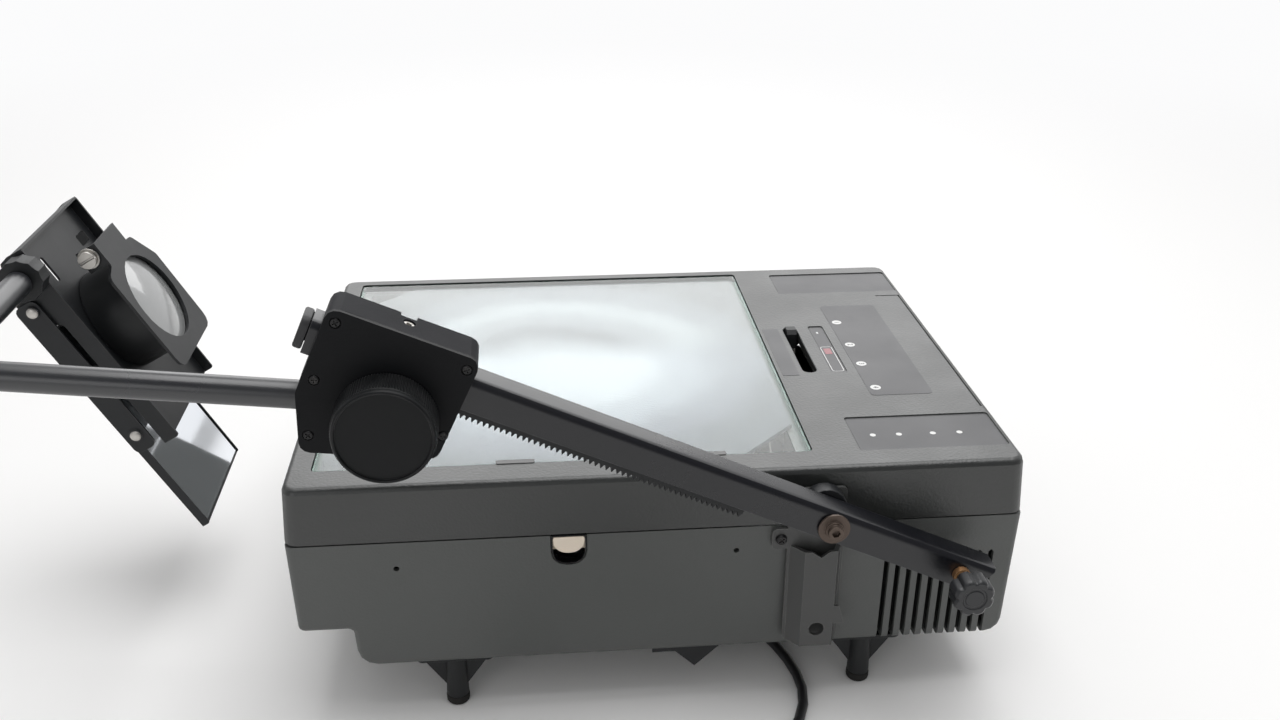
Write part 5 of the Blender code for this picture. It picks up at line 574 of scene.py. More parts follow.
def ring_lens():
    """White plastic with fine rings, whose colour is painted light by the distance from its middle: a painted
    glow, painted shade towards the corners and a painted dark arc behind.
    """
    made, tree, shader = new_material("ring_lens_acrylic", {"Specular IOR Level": RING_GLOSS})
    place = add(tree, "TexCoord")
    centred = add(tree, "Mapping", {"Location": -LENS_MIDDLE})
    away = add(tree, "VectorMath", operation="LENGTH")
    rings = add(tree, "Math", {1: RING_SCALE * math.tau}, operation="MULTIPLY")
    wave = add(tree, "Math", operation="SINE")
    bump = add(tree, "Bump", RING_DEPTH)
    marks = placed_group(tree, HANDLING, **RING_MARKS)
    wobbled_distance = add(tree, "Math", {1: GLOW_WOBBLE}, operation="MULTIPLY_ADD")
    reach = add(tree, "Math", {1: DISC_START}, operation="SUBTRACT")
    both = add(tree, "Mix", data_type="RGBA")
    wire(place, "Object", centred, "Vector")
    wire(centred, 0, away, 0)
    wire(away, "Value", rings, 0)
    wire(rings, 0, wave, 0)
    wire(wave, 0, bump, "Height")
    wire(bump, "Normal", shader, "Normal")
    wire(marks, "Tone", wobbled_distance, 0)
    wire(away, "Value", wobbled_distance, 2)
    wire(wobbled_distance, 0, reach, 0)
    # Front and back rows of painted light: painted glow, painted shade and, behind, a painted dark arc.
    behind = ramp(tree, axis_value(tree, centred.outputs[0], "Y"), BACK_FROM, BACK_BY)
    tree.links.new(behind, both.inputs["Factor"])
    tree.links.new(tone_ramp(tree, reach.outputs[0], FRONT_PAINTED_LIGHT), both.inputs["A"])
    tree.links.new(tone_ramp(tree, reach.outputs[0], BACK_PAINTED_LIGHT), both.inputs["B"])
    wire(both, "Result", shader, "Base Color")
    wire(marks, "Roughness", shader, "Roughness")
    return made


GLASSES = {
    "stage_pane": stage_pane(),
    "lens_glass": clear_glass("lens_glass", (0.52, 0.53, 0.53), 0.10, clear=0.45, coat=0.8),
    "lamp_glass": clear_glass("lamp_glass", (0.97, 0.98, 0.99), 0.01),
    "ring_lens_acrylic": ring_lens(),
}
print("glasses:", sorted(GLASSES))

# %% [markdown]
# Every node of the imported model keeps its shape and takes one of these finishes. The table
# below reads like the finishing list of the real machine.

# %% Dress the nodes
CORNERS = ("front_left", "front_right", "back_left", "back_right")
FINISH_OF = {
    "housing_moulding": ("lower_housing",),
    "cover_moulding": ("stage_cover",),
    "foot_rubber": (*("pad_" + corner for corner in CORNERS), "strain_relief"),
    "black_moulding": (*("leg_" + corner for corner in CORNERS), "fan_frame", "fan_rotor",
                       "changer_lever", "lens_barrel", "clamp_nut", "mast_rack", "focus_pinion"),
    "knob_moulding": ("focus_knob", "cord_plug"),
    "lock_moulding": ("lock_knob",),
    "tube_paint": ("arm_tube",),
    "bracket_paint": ("mast_bracket",),
    "plate_paint": ("carriage_plate",),
    "black_paint": ("head_frame", "lens_plate", "mirror_arm_near", "mirror_arm_far",
                    "mirror_tray", "underside_plate", "spacer_disc"),
    "mast_paint": ("mast_channel",),
    "case_casting": ("carriage_case",),
    "end_cap_moulding": ("mast_end_cap",),
    "gloss_moulding": ("latch_rim",),
    "cream_moulding": ("latch_button",),
    "zinc_steel": ("lamp_rail", "mirror_rail_front", "mirror_rail_back", "heat_divider",
                   "lamp_carrier", "drag_screw", "tab_screw", "tab_washer", "lock_stud"),
    "dark_steel": ("hinge_base_left", "hinge_base_right", "hinge_cover_left", "hinge_cover_right"),
    "brown_steel": ("pivot_bolt",),
    "brass": ("lock_bush",),
    "mirror_metal": ("folding_mirror", "head_mirror"),
    "stage_pane": ("stage_glass",),
    "lens_glass": ("objective_lens",),
    "lamp_glass": ("lamp_1", "lamp_2"),
    "ring_lens_acrylic": ("fresnel_lens",),
    "cord_sheath": ("supply_cord", "cord_coil"),
}


def dress():
    for finish_name, names in FINISH_OF.items():
        paint = PLAIN_FINISHES.get(finish_name) or GLASSES[finish_name]
        for name in names:
            for slot in nodes[name].material_slots:
                slot.material = paint
    given = {name for names in FINISH_OF.values() for name in names}
    print("dressed:", len(given), "nodes, left:", sorted(set(nodes) - given))


dress()

# %% [markdown]
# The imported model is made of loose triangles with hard, exact edges, and its round parts
# have few facets. A real folded sheet or moulded case has small roundings that catch the
# light. So each node gets a stand-in: its triangles are merged, flat faces are joined again,
# a Bevel modifier rounds the edges, and Weighted Normal keeps the large faces flat beside
# the roundings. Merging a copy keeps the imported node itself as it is.

# %% Round the edges of the plain nodes
MERGE_REACH = 0.000002
FLAT_ANGLE = math.radians(0.5)
CREASE_ANGLE = math.radians(34)
ROUNDING_STEPS = 2
BODY_OF = {node: body for body, held in frame["record"]["behaviour"]["bodies"].items() for node in held}
ROUNDED = {
    "lower_housing": 0.0006, "stage_cover": 0.0005,
    **{"leg_" + corner: 0.0005 for corner in CORNERS},
    **{"pad_" + corner: 0.0006 for corner in CORNERS},
    "underside_plate": 0.0003, "latch_rim": 0.0003, "latch_button": 0.0005, "mast_bracket": 0.0,
    "spacer_disc": 0.0004, "pivot_bolt": 0.0003, "mast_channel": 0.0003, "mast_end_cap": 0.0006,
    "lock_bush": 0.0003, "carriage_case": 0.0005, "carriage_plate": 0.0003, "drag_screw": 0.0003,
    "clamp_nut": 0.0003, "head_frame": 0.0002, "lens_barrel": 0.0003, "lens_plate": 0.0002,
    "tab_washer": 0.0002, "tab_screw": 0.0003, "mirror_arm_near": 0.0002, "mirror_arm_far": 0.0002,
    "mirror_tray": 0.0002, "strain_relief": 0.0004, "cord_plug": 0.0006, "objective_lens": 0.0,
    "hinge_base_left": 0.0002, "hinge_base_right": 0.0002, "hinge_cover_left": 0.0002,
    "hinge_cover_right": 0.0002, "fan_frame": 0.0003, "fan_rotor": 0.0, "lamp_1": 0.0,
    "lamp_2": 0.0,
}


def add_piece(name, bm, paint, body):
    """Turns a bmesh into a smooth-shaded piece of one material that rides on a body."""
    mesh = as_mesh(name, bm)
    mesh.shade_smooth()
    mesh.set_sharp_from_angle(angle=CREASE_ANGLE)
    mesh.materials.append(paint)
    piece = put(name, mesh)
    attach(piece, body)
    return piece


def stand_for(piece, *names):
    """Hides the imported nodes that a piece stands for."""
    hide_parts(*names)


def merged_copy(name):
    """A node's mesh with its loose triangles joined to whole faces again."""
    bm = bmesh.new()
    bm.from_mesh(nodes[name].data)
    bmesh.ops.remove_doubles(bm, verts=bm.verts, dist=MERGE_REACH)
    bmesh.ops.dissolve_limit(bm, angle_limit=FLAT_ANGLE, verts=bm.verts, edges=bm.edges)
    return bm


def round_edges(piece, width):
    """Rounds the sharp edges, where a width is given, and keeps the flat faces flat."""
    if width:
        bevel = piece.modifiers.new("rounding", "BEVEL")
        bevel.width = width
        bevel.segments = ROUNDING_STEPS
        bevel.limit_method = "ANGLE"
        bevel.angle_limit = CREASE_ANGLE
        bevel.use_clamp_overlap = True
    weights = piece.modifiers.new("flat_faces", "WEIGHTED_NORMAL")
    weights.keep_sharp = True


def round_nodes():
    for name, width in ROUNDED.items():
        paint = nodes[name].material_slots[0].material
        piece = add_piece(name + "_rounded", merged_copy(name), paint, BODY_OF[name])
        round_edges(piece, width)
        stand_for(piece, name)


round_nodes()
print("rounded:", len(ROUNDED), "nodes")

# %% [markdown]
# The supply cord leaves the back wall through its strain relief, falls to the table, turns
# back under the base and comes out in front, where the rest of it is wound up just below
# the photograph's edge. It is one curve from the gland to the plug: listed points for
# the free run, joined by a smooth curve, and a loop for the turns of the coil.

# %% Lay the supply cord
CORD_RADIUS = 0.0031
CORD_STEP = 0.0145
CORD_ROUTE = (
    (0.2420, 0.3414, 0.0620),
    (0.2420, 0.3534, 0.0616),
    (0.2420, 0.3714, 0.0560),
    (0.2410, 0.3894, 0.0400),
    (0.2370, 0.4054, 0.0211),
    (0.2280, 0.4234, 0.0051),
    (0.2080, 0.4374, 0.0031),
    (0.1800, 0.4334, 0.0031),
    (0.1600, 0.4114, 0.0031),
    (0.1540, 0.3714, 0.0031),
    (0.1560, 0.3114, 0.0031),
    (0.1520, 0.2380, 0.0031),
    (0.1570, 0.1580, 0.0031),
    (0.1740, 0.0880, 0.0031),
    (0.1950, 0.0460, 0.0031),
    (0.2060, 0.0180, 0.0031),
    (0.2100, -0.0100, 0.0031),
    (0.2050, -0.0340, 0.0031),
    (0.1910, -0.0580, 0.0031),
    (0.1710, -0.0780, 0.0031),
    (0.1530, -0.0950, 0.0031),
)
COIL_MIDDLE = Vector((0.102, -0.172, 0.0))
COIL_INNER = 0.0280
COIL_LOOPS = 2
COIL_LAYERS = 4
COIL_PITCH = 0.0068
LAYER_RISE = 0.0069
TURN_POINTS = 16
COIL_TAIL = 0.0075
RUN_OUT = 0.052
RUN_OUT_POINTS = 9
RUN_OUT_FALL = 0.0134
RUN_IN = (10, 6, 3, 0)
END_GAP = 0.0003
CURVE_PARTS = 24
COIL_PARTS = 2
CORD_FACETS = 3


def finer(points, parts):
    """Each stretch between two points split into parts on the smooth curve through them all."""
    dense = []
    for i in range(len(points) - 1):
        a, b = points[max(i - 1, 0)], points[i]
        c, d = points[i + 1], points[min(i + 2, len(points) - 1)]
        for k in range(parts):
            t = k / parts
            dense.append(0.5 * (2 * b + (c - a) * t + (2 * a - 5 * b + 4 * c - d) * t ** 2
                                + (3 * b - a - 3 * c + d) * t ** 3))
    return dense + [points[-1]]


def smooth_way(points, step):
    """Evenly spaced points on a smooth curve through the given ones."""
    dense = finer(points, CURVE_PARTS)
    total = sum((q - p).length for p, q in zip(dense, dense[1:]))
    count = round(total / step)
    placed, walked = [dense[0]], 0.0
    for p, q in zip(dense, dense[1:]):
        length = (q - p).length
        while len(placed) < count and walked + length >= total * len(placed) / count:
            placed.append(p.lerp(q, (total * len(placed) / count - walked) / length))
        walked += length
    return placed + [dense[-1]]


def coil_way():
    """The turns of the coil, layer upon layer, and the run down to the plug."""
    points = []
    reach = COIL_PITCH * COIL_LOOPS
    turn = -math.tau / TURN_POINTS
    angle = 0.0
    height = CORD_RADIUS

    def around(radius, z):
        return Vector((radius * math.cos(angle), radius * math.sin(angle), z))

    for layer in range(COIL_LAYERS):
        outward = layer % 2 == 1
        for i in range(TURN_POINTS * COIL_LOOPS + 1):
            share = i / (TURN_POINTS * COIL_LOOPS)
            points.append(around(COIL_INNER + reach * (share if outward else 1 - share), height))
            angle += turn
        if layer == COIL_LAYERS - 1:
            break
        for i in range(1, TURN_POINTS // 2):
            share = i / (TURN_POINTS // 2)
            swell = COIL_PITCH / 2 * math.sin(math.pi * share) * (1 if outward else -1)
            lift = LAYER_RISE * (1 - math.cos(math.pi * share)) / 2
            points.append(around(COIL_INNER + (reach if outward else 0) + swell, height + lift))
            angle += turn
        height += LAYER_RISE
    way = (points[-1] - points[-2]).to_2d().normalized().to_3d()
    last = points[-1]
    for i in range(1, RUN_OUT_POINTS + 1):
        share = i / RUN_OUT_POINTS
        drop = RUN_OUT_FALL * (1 - math.cos(math.pi * share)) / 2
        points.append(last + way * RUN_OUT * share - Vector((0, 0, drop)))
    return [point + COIL_MIDDLE for point in points], way


def cord_way():
    """The free run, the coil and the straight ends between them, as one row of points."""
    coil, last_way = coil_way()
    first_way = (coil[0] - coil[1]).to_2d().normalized().to_3d()
    head = coil[0] + first_way * COIL_TAIL
    run_in = [head + first_way * (END_GAP + CORD_RADIUS * share) for share in RUN_IN]
    free = smooth_way([Vector(point) for point in CORD_ROUTE] + run_in, CORD_STEP)
    return free + [head] + finer(coil, COIL_PARTS) + [coil[-1] + last_way * COIL_TAIL]


def lay_cord():
    points = cord_way()
    curve = bpy.data.curves.new("power_cord", "CURVE")
    curve.dimensions = "3D"
    curve.bevel_depth = CORD_RADIUS
    curve.bevel_resolution = CORD_FACETS
    curve.use_fill_caps = True
    spline = curve.splines.new("POLY")
    spline.points.add(len(points) - 1)
    for place, point in zip(spline.points, points):
        place.co = (*point, 1)
    spline.use_smooth = True
    curve.materials.append(PLAIN_FINISHES["cord_sheath"])
    cord = put("power_cord", curve)
    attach(cord, "base")
    stand_for(cord, "supply_cord", "cord_coil")


lay_cord()

# %% [markdown]
# The arm is a drawn steel tube, bent once in a bender, so it is perfectly round and has one
# smooth bend. It is made like that here: rings of 32 points are set along its middle line
# and bridged, and the stud that carries the head is extruded from its end.

# %% Bend the arm tube
ARM_RADIUS = 0.0075
ARM_RISE = math.radians(6.35)
ARM_BEND = 0.030
ARM_SIDES = 32
BEND_STEPS = 20
ARM_STUD_RADIUS = 0.0040
ARM_STUD_LENGTH = 0.0195
EDGE_ROUNDING = 0.0008


def joint_place(name):
    """The point that a joint turns about or slides from."""
    return next(joint for joint in frame["joints"] if joint["name"] == name)["pos_m"]


def ring_at(bm, place, way, radius):
    """A ring of points around a place, square to the way."""
    turn = way.to_track_quat("Z", "Y").to_matrix().to_4x4()
    lay = Matrix.Translation(place) @ turn
    made = bmesh.ops.create_circle(bm, segments=ARM_SIDES, radius=radius, matrix=lay)
    verts = set(made["verts"])
    return [edge for edge in bm.edges if verts.issuperset(edge.verts)]


def bend_arm():
    low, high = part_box("arm_tube")
    out = Vector((-math.cos(ARM_RISE), 0, math.sin(ARM_RISE)))
    head = joint_place("head_tilt")
    corner = Vector((head[0], low.y + ARM_RADIUS, head[2]))
    length = (high.x - ARM_RADIUS * math.sin(ARM_RISE) - corner.x) / math.cos(ARM_RISE)
    middle = corner - out * ARM_BEND + Vector((0, ARM_BEND, 0))
    stops = [(corner - out * length, out)]
    for step in range(BEND_STEPS + 1):
        angle = math.pi / 2 * step / BEND_STEPS
        place = middle + out * ARM_BEND * math.sin(angle) - Vector((0, ARM_BEND * math.cos(angle), 0))
        stops.append((place, out * math.cos(angle) + Vector((0, math.sin(angle), 0))))
    stops.append((Vector((corner.x, high.y - ARM_STUD_LENGTH, corner.z)), Vector((0, 1, 0))))
    bm = bmesh.new()
    rings = [ring_at(bm, place, way, ARM_RADIUS) for place, way in stops]
    for first, second in zip(rings, rings[1:]):
        bmesh.ops.bridge_loops(bm, edges=first + second)
    bmesh.ops.contextual_create(bm, geom=rings[0])
    end = bmesh.ops.contextual_create(bm, geom=rings[-1])["faces"]
    bmesh.ops.recalc_face_normals(bm, faces=bm.faces)
    bmesh.ops.inset_region(bm, faces=end, thickness=ARM_RADIUS - ARM_STUD_RADIUS)
    stud = bmesh.ops.extrude_face_region(bm, geom=end)
    bmesh.ops.delete(bm, geom=end, context="FACES")
    tip = [item for item in stud["geom"] if isinstance(item, bmesh.types.BMVert)]
    bmesh.ops.translate(bm, verts=tip, vec=(0, ARM_STUD_LENGTH, 0))
    bmesh.ops.recalc_face_normals(bm, faces=bm.faces)
    arm = add_piece("arm_tube_bent", bm, PLAIN_FINISHES["tube_paint"], "carriage")
    round_edges(arm, EDGE_ROUNDING)
    stand_for(arm, "arm_tube")
    print("arm:", round(length * 1000), "mm before the bend,", len(stops), "rings")


bend_arm()

# %% [markdown]
# Both knobs are turned mouldings. A capped circle is extruded towards the viewer and scaled
# in steps, which is how a turned profile grows, and its front is sunk so that a rim stays.
# On the focusing knob every second point of the wall is pulled in, which makes the fine
# knurl. On the lock knob the wall follows a wave of eight lobes. A step in the tables is a
# distance towards the front and a share of the radius.

# %% Turn the knobs
FOCUS_KNURLS = 110
FOCUS_RADIUS = 0.0263
KNURL_DEPTH = 0.0005
KNURL_REACH = 0.0173
FOCUS_STEPS = (
    (0.0000, 0.955), (0.0010, 1.000), (0.0172, 1.000), (0.0176, 0.978), (0.0196, 0.974),
    (0.0204, 0.955), (0.0208, 0.930), (0.0206, 0.905), (0.0194, 0.895),
)
LOCK_RADIUS = 0.01175
LOCK_SIDES = 96
LOBES = 8
LOBE_DEPTH = 0.0016
LOBE_FROM = 0.84
LOCK_STEPS = (
    (0.0000, 0.52), (0.0015, 0.52), (0.0015, 0.90), (0.0026, 1.00), (0.0110, 1.00), (0.0126, 0.95),
    (0.0134, 0.86), (0.0135, 0.60), (0.0128, 0.55), (0.0128, 0.46), (0.0133, 0.42),
)


def turned_knob(sides, radius, steps, centre, back):
    """Grows a knob from its back face, step by step towards the front."""
    bm = bmesh.new()
    lay = Matrix.Translation((centre[0], back, centre[1])) @ Matrix.Rotation(math.radians(90), 4, "X")
    bmesh.ops.create_circle(bm, cap_ends=True, segments=sides, radius=radius * steps[0][1], matrix=lay)
    face = bm.faces[:]
    reached, size = steps[0]
    aim = Matrix.Translation((-centre[0], -back, -centre[1]))
    for out, share in steps[1:]:
        face = bmesh.ops.extrude_discrete_faces(bm, faces=face)["faces"]
        verts = face[0].verts[:]
        bmesh.ops.translate(bm, verts=verts, vec=(0, reached - out, 0))
        bmesh.ops.scale(bm, verts=verts, vec=(share / size, 1, share / size), space=aim)
        reached, size = out, share
    return bm


def from_axis(vert, centre):
    """The way from the knob's axis to a point, seen from the front."""
    return Vector((vert.co.x - centre[0], vert.co.z - centre[1]))


def shape_wall(verts, centre, radius, rule):
    """Pulls points of the outer wall in by a rule of their angle."""
    for vert in verts:
        away = from_axis(vert, centre)
        away *= 1 - rule(math.atan2(away.y, away.x)) / radius
        vert.co.x = centre[0] + away.x
        vert.co.z = centre[1] + away.y


def knurl(angle):
    """Every second point of the wall lies deeper."""
    step = round(angle / math.tau * 2 * FOCUS_KNURLS)
    return KNURL_DEPTH if step % 2 else 0.0


def lobe(angle):
    """A wave with broad crests and narrow hollows."""
    return LOBE_DEPTH * (0.5 + 0.5 * math.cos(LOBES * angle)) ** 3


def joint_axis(name):
    """Where a joint's axis meets the front plane."""
    place = joint_place(name)
    return place[0], place[2]


def turn_knobs():
    centre = joint_axis("focus_turn")
    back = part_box("focus_knob")[1].y
    bm = turned_knob(2 * FOCUS_KNURLS, FOCUS_RADIUS, FOCUS_STEPS, centre, back)
    wall = [vert for vert in bm.verts if back - vert.co.y < KNURL_REACH]
    shape_wall(wall, centre, FOCUS_RADIUS, knurl)
    bmesh.ops.recalc_face_normals(bm, faces=bm.faces)
    focus = add_piece("focus_knob_knurled", bm, PLAIN_FINISHES["knob_moulding"], "focus")
    stand_for(focus, "focus_knob")
    centre = joint_axis("lock_turn")
    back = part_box("lock_knob")[1].y
    bm = turned_knob(LOCK_SIDES, LOCK_RADIUS, LOCK_STEPS, centre, back)
    wall = [vert for vert in bm.verts if from_axis(vert, centre).length > LOCK_RADIUS * LOBE_FROM]
    shape_wall(wall, centre, LOCK_RADIUS, lobe)
    bmesh.ops.recalc_face_normals(bm, faces=bm.faces)
    lock = add_piece("lock_knob_lobed", bm, PLAIN_FINISHES["lock_moulding"], "lock_grip")
    stand_for(lock, "lock_knob")


turn_knobs()
print("knobs:", FOCUS_KNURLS, "knurls,", LOBES, "lobes")

# %% [markdown]
# The carriage plate is held by five cross-head screws in counterbores, and the mast bracket
# by one. One head is made once: a short cone with a cross cut out of it by a Boolean
# modifier, whose result is kept as plain mesh. Copies of it are then turned and set in place.
# The plate's screws are given along and across the mast, and heads by radius and height.

# %% Drive the cross-head screws
MAST_LEAN = math.radians(24.5)
PLATE_SCREWS = ((0.2872, -0.0146), (0.2866, 0.0181), (0.2794, 0.0483), (0.2196, -0.0152), (0.2171, 0.0238))
PLATE_HEAD = (0.0027, 0.0013)
PLATE_SEAT = 0.0009
BRACKET_HEAD = (0.0034, 0.0019)
BRACKET_SPOT = (0.0222, 0.0081, 0.0242)
FIRST_TWIST = 0.4
BRACKET_TWIST = 0.7
HEAD_SIDES = 28
HEAD_TAPER = 0.86
HEAD_TOP = 0.9
HEAD_ROUNDING = 0.16
HEAD_STEPS = 3
CROSS_WIDTH = 0.26
CROSS_REACH = 1.25
CROSS_DEPTH = 1.3


def carved(body_mesh, cutter_mesh):
    """The first mesh with the second cut out of it."""
    block = put("block", body_mesh)
    tool = put("tool", cutter_mesh)
    cut = block.modifiers.new("cut", "BOOLEAN")
    cut.object = tool
    cut.operation = "DIFFERENCE"
    cut.solver = "EXACT"
    shown = block.evaluated_get(bpy.context.evaluated_depsgraph_get())
    made = bpy.data.meshes.new_from_object(shown)
    bpy.data.objects.remove(block)
    bpy.data.objects.remove(tool)
    return made


def cross_head(radius, height):
    """A screw head that points up, its cross sunk to two thirds of its height."""
    head = bmesh.new()
    bmesh.ops.create_cone(head, cap_ends=True, segments=HEAD_SIDES, radius1=radius,
                          radius2=radius * HEAD_TAPER, depth=height,
                          matrix=Matrix.Translation((0, 0, height / 2)))
    top = [edge for edge in head.edges if all(vert.co.z > height * HEAD_TOP for vert in edge.verts)]
    bmesh.ops.bevel(head, geom=top, offset=radius * HEAD_ROUNDING, offset_type="OFFSET",
                    segments=HEAD_STEPS, profile=0.5, affect="EDGES", material=-1)
    block = as_mesh("head", head)
    for turn in (0, 90):
        cross = bmesh.new()
        lay = Matrix.Translation((0, 0, height)) @ Matrix.Rotation(math.radians(turn), 4, "Z")
        size = Matrix.Diagonal((radius * CROSS_REACH, radius * CROSS_WIDTH, height * CROSS_DEPTH, 1))
        bmesh.ops.create_cube(cross, size=1, matrix=lay @ size)
        block = carved(block, as_mesh("cross", cross))
    return block


def drive_screw(name, head, place, twist, body):
    """Sets a copy of a head at a place on a front face, turned by a twist."""
    bm = bmesh.new()
    bm.from_mesh(head)
    lay = Matrix.Rotation(math.radians(90), 4, "X") @ Matrix.Rotation(twist, 4, "Z")
    bmesh.ops.transform(bm, verts=bm.verts, matrix=Matrix.Translation(place) @ lay)
    add_piece(name, bm, SCREW_BLACK, body)


def on_mast(s, t):
    """The place in the front plane that lies s up the mast from its pivot and t across it."""
    pivot_x, pivot_z = joint_axis("mast_fold")
    x = pivot_x - math.cos(MAST_LEAN) * s - math.sin(MAST_LEAN) * t
    return x, pivot_z + math.sin(MAST_LEAN) * s - math.cos(MAST_LEAN) * t


def drive_screws():
    small = cross_head(*PLATE_HEAD)
    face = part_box("carriage_plate")[0].y
    for number, (s, t) in enumerate(PLATE_SCREWS):
        x, z = on_mast(s, t)
        place = Vector((x, face + PLATE_SEAT, z))
        drive_screw("plate_screw_%d" % (number + 1), small, place, FIRST_TWIST + number, "carriage")
    x, z = joint_axis("mast_fold")
    left, back, down = BRACKET_SPOT
    place = Vector((x - left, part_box("mast_bracket")[0].y + back, z - down))
    drive_screw("bracket_screw", cross_head(*BRACKET_HEAD), place, BRACKET_TWIST, "base")


SCREW_BLACK = finish("screw_black", (0.020, 0.020, 0.021), (0.24, 0.40), (700.0, 0.00003, 0.25),
                     (0.0004, 0.8), (0.22, 0.21, 0.20), metallic=0.6)
drive_screws()
print("screws:", len(PLATE_SCREWS) + 1)

# %% [markdown]
# Dark printed films lie on the cover: one in each sunk panel, one larger film with four
# numbered steps, and a strip beside the lamp lever. A film is one quad whose corners are
# rounded by a bevel on its points, given its thickness by an extrusion. Prints on it are
# made the same way, a few hundredths of a millimetre above it, so they stay crisp. Places
# are measured from the cover's front left corner: left, front, right and back.

# %% Lay the printed films
FLARE = 0.0018
COVER_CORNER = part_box("stage_cover")[0] + Vector((FLARE, FLARE, 0))
COVER_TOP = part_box("stage_cover")[1].z
FILM = 0.00012
PRINT = 0.00005
FILM_LIFT = 0.00002
FILM_STEPS = 5
DOT_SIDES = 32
PANEL_DEPTH = 0.0008
PANEL_FLOOR = COVER_TOP - PANEL_DEPTH
STEP_TOP = COVER_TOP + FILM_LIFT + FILM
PANEL_TOP = PANEL_FLOOR + FILM_LIFT + FILM
LABEL_BLACK = finish("label_black", (0.030, 0.030, 0.034), (0.38, 0.50), (1600.0, 0.00002, 0.25),
                     (0.0003, 0.2), specular=0.65)
LABEL_WHITE = finish("label_white", (0.72, 0.72, 0.71), (0.40, 0.55), (1600.0, 0.00001, 0.10), (0.0003, 0.0))
LABEL_RED = finish("label_red", (0.24, 0.028, 0.040), (0.22, 0.34), (1200.0, 0.00001, 0.10), (0.0003, 0.0))
FILMS = (
    ("brand_film", (0.3272, 0.2632, 0.4163, 0.3013), PANEL_FLOOR, 0.0016),
    ("lamp_film", (0.3277, 0.0192, 0.4158, 0.0593), PANEL_FLOOR, 0.0016),
    ("position_film", (0.3356, 0.1246, 0.3449, 0.1994), PANEL_FLOOR, 0.0012),
    ("steps_film", (0.3520, 0.0880, 0.3920, 0.2355), COVER_TOP, 0.0030),
    ("lever_film", (0.3020, 0.1210, 0.3130, 0.1970), COVER_TOP, 0.0008),
)
PRINTS = (
    ("position_frame", (0.3362, 0.1262, 0.3443, 0.1655), 0.0020, LABEL_WHITE, 0.0005),
    ("position_window", (0.3378, 0.1535, 0.3427, 0.1625), 0.0004, LABEL_RED, 0.0),
    ("position_tick", (0.3392, 0.1880, 0.3406, 0.1908), 0.0003, LABEL_WHITE, 0.0),
)
STEP_DOTS = ((0.3575, 0.2050), (0.3575, 0.1660), (0.3575, 0.1350), (0.3575, 0.0990))
LAMP_DOTS = ((0.3394, 0.0374), (0.3552, 0.0372), (0.3758, 0.0370), (0.3920, 0.0368))
STEP_DOT = 0.0034
LAMP_DOT = 0.0018
NUMERAL_HEIGHT = 0.0052


def rounded_sheet(middle, width, depth, corner, steps):
    """A flat quad whose corners are rounded in steps."""
    bm = bmesh.new()
    lay = Matrix.Translation(middle) @ Matrix.Diagonal((width / 2, depth / 2, 1, 1))
    bmesh.ops.create_grid(bm, x_segments=1, y_segments=1, size=1, matrix=lay)
    bmesh.ops.bevel(bm, geom=bm.verts[:], offset=corner, offset_type="OFFSET", segments=steps,
                    profile=0.5, affect="VERTICES", material=-1)
    return bm


def thicken(bm, height):
    """Gives a flat sheet its thickness, upwards."""
    raised = bmesh.ops.extrude_face_region(bm, geom=bm.faces[:])
    top = [item for item in raised["geom"] if isinstance(item, bmesh.types.BMVert)]
    bmesh.ops.translate(bm, verts=top, vec=(0, 0, height))
    bmesh.ops.recalc_face_normals(bm, faces=bm.faces)


def film(name, spot, floor, corner, paint, thickness, ring=0.0):
    """A thin rounded sheet on the cover, or only its rim where a ring width is given."""
    left, front, right, back = spot
    middle = COVER_CORNER + Vector(((left + right) / 2, (front + back) / 2, 0))
    bm = rounded_sheet((middle.x, middle.y, floor + FILM_LIFT), right - left, back - front, corner,
                       FILM_STEPS)
    if ring:
        inner = bm.faces[:]
        bmesh.ops.inset_region(bm, faces=inner, thickness=ring, use_boundary=True)
        bmesh.ops.delete(bm, geom=inner, context="FACES_ONLY")
    thicken(bm, thickness)
    piece = add_piece(name, bm, paint, "cover")


def dot(name, spot, radius, floor):
    """One printed round dot."""
    bm = bmesh.new()
    place = COVER_CORNER + Vector((*spot, 0))
    lay = Matrix.Translation((place.x, place.y, floor + PRINT / 2))
    bmesh.ops.create_cone(bm, cap_ends=True, segments=DOT_SIDES, radius1=radius, radius2=radius,
                          depth=PRINT, matrix=lay)
    add_piece(name, bm, LABEL_WHITE, "cover")


def numeral(name, text, spot, floor):
    """One printed digit, read from the left side of the machine."""
    data = bpy.data.curves.new(name, "FONT")
    data.body = text
    data.size = NUMERAL_HEIGHT
    data.extrude = PRINT / 2
    data.align_x, data.align_y = "CENTER", "CENTER"
    maker = put("maker", data)
    shown = maker.evaluated_get(bpy.context.evaluated_depsgraph_get())
    bm = bmesh.new()
    bm.from_mesh(shown.to_mesh())
    bpy.data.objects.remove(maker)
    place = COVER_CORNER + Vector((*spot, 0))
    lay = Matrix.Translation((place.x, place.y, floor)) @ Matrix.Rotation(math.radians(-90), 4, "Z")
    bmesh.ops.transform(bm, verts=bm.verts, matrix=lay)
    add_piece(name, bm, LABEL_BLACK, "cover")


def lay_films():
    for name, spot, floor, corner in FILMS:
        film(name, spot, floor, corner, LABEL_BLACK, FILM)
    for number, spot in enumerate(STEP_DOTS, 1):
        dot("step_dot_%d" % number, spot, STEP_DOT, STEP_TOP)
        numeral("step_number_%d" % number, str(number), spot, STEP_TOP + 2 * PRINT)
    for number, spot in enumerate(LAMP_DOTS, 1):
        dot("lamp_dot_%d" % number, spot, LAMP_DOT, PANEL_TOP)
    for name, spot, corner, paint, ring in PRINTS:
        film(name, spot, PANEL_TOP, corner, paint, PRINT, ring)


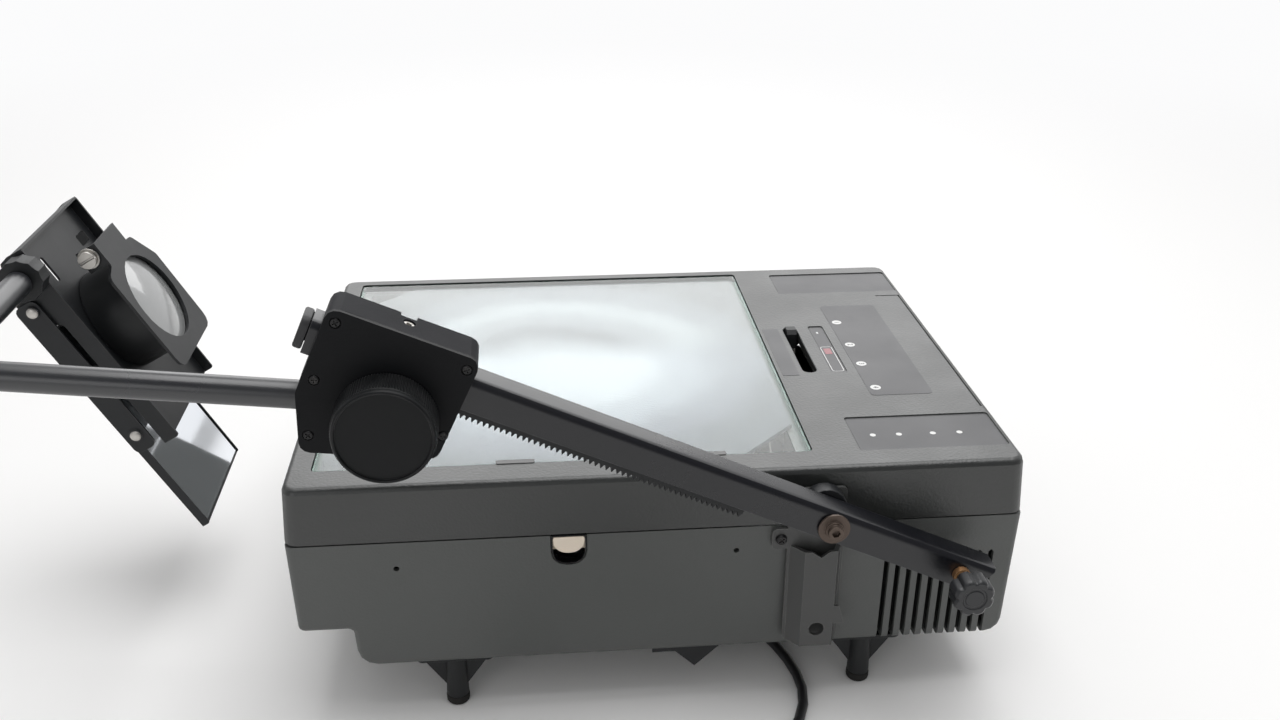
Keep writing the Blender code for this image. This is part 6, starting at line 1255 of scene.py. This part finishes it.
lay_films()
print("films:", len(FILMS), "with", len(STEP_DOTS) + len(LAMP_DOTS), "dots")

# %% [markdown]
# The swing arms turn on bright rivets whose domed heads stand out against the black sheet.
# Each head is a profile spun once around its axis, as it would be turned on a lathe. The
# profile is given by radius and height, from the top of the dome to its flat back.

# %% Set the rivets
SPIN_STEPS = 28
RIVET_DOME = (
    (0.0000, 0.0011), (0.0012, 0.0010), (0.0024, 0.0007), (0.0033, 0.0002), (0.0036, -0.0003),
    (0.0000, -0.0003),
)
RIVET_SEAT = 0.0001
RIVETS = (("swing_rivet", "mirror_swing"), ("tilt_rivet", "mirror_tilt"))


def lathe(profile, place, way):
    """Spins a profile of radius and height around an axis that starts at a place."""
    bm = bmesh.new()
    verts = [bm.verts.new((radius, 0, height)) for radius, height in profile]
    edges = [bm.edges.new(pair) for pair in zip(verts, verts[1:])]
    bmesh.ops.spin(bm, geom=verts + edges, cent=(0, 0, 0), axis=(0, 0, 1), angle=math.tau, steps=SPIN_STEPS,
                   use_merge=True)
    bmesh.ops.remove_doubles(bm, verts=bm.verts, dist=MERGE_REACH)
    bmesh.ops.recalc_face_normals(bm, faces=bm.faces)
    turn = way.to_track_quat("Z", "Y").to_matrix().to_4x4()
    bmesh.ops.transform(bm, verts=bm.verts, matrix=Matrix.Translation(place) @ turn)
    return bm


def set_rivets():
    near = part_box("mirror_arm_near")[0].y
    front = Vector((0, -1, 0))
    for name, joint in RIVETS:
        x, z = joint_axis(joint)
        bm = lathe(RIVET_DOME, Vector((x, near + RIVET_SEAT, z)), front)
        add_piece(name, bm, PLAIN_FINISHES["zinc_steel"], "mirror_arms")


set_rivets()
print("rivets:", len(RIVETS))

# %% [markdown]
# Two thin steel clips hold the stage glass down along its front edge. Each is a small plate
# that lies on the cover and reaches over the glass: a rounded sheet like the films, a little
# thicker and with its edges rounded too.

# %% Clip the stage glass
CLIP_LENGTH = 0.022
CLIP_REACH = 0.0042
CLIP_SHEET = 0.0003
CLIP_CORNER = 0.0008
CLIP_STEPS = 3
CLIP_ROUNDING = 0.00008
CLIP_HOLD = 0.0012
CLIP_LIFT = 0.00012
CLIP_PLACES = (0.128, 0.238)


def clip_glass():
    for number, along in enumerate(CLIP_PLACES, 1):
        y = PANE_LOW.y + CLIP_REACH / 2 - CLIP_HOLD
        middle = (COVER_CORNER.x + along, y, COVER_TOP + CLIP_LIFT)
        bm = rounded_sheet(middle, CLIP_LENGTH, CLIP_REACH, CLIP_CORNER, CLIP_STEPS)
        thicken(bm, CLIP_SHEET)
        clip = add_piece("glass_clip_%d" % number, bm, PLAIN_FINISHES["dark_steel"], "cover")
        round_edges(clip, CLIP_ROUNDING)


clip_glass()
print("clips:", len(CLIP_PLACES))
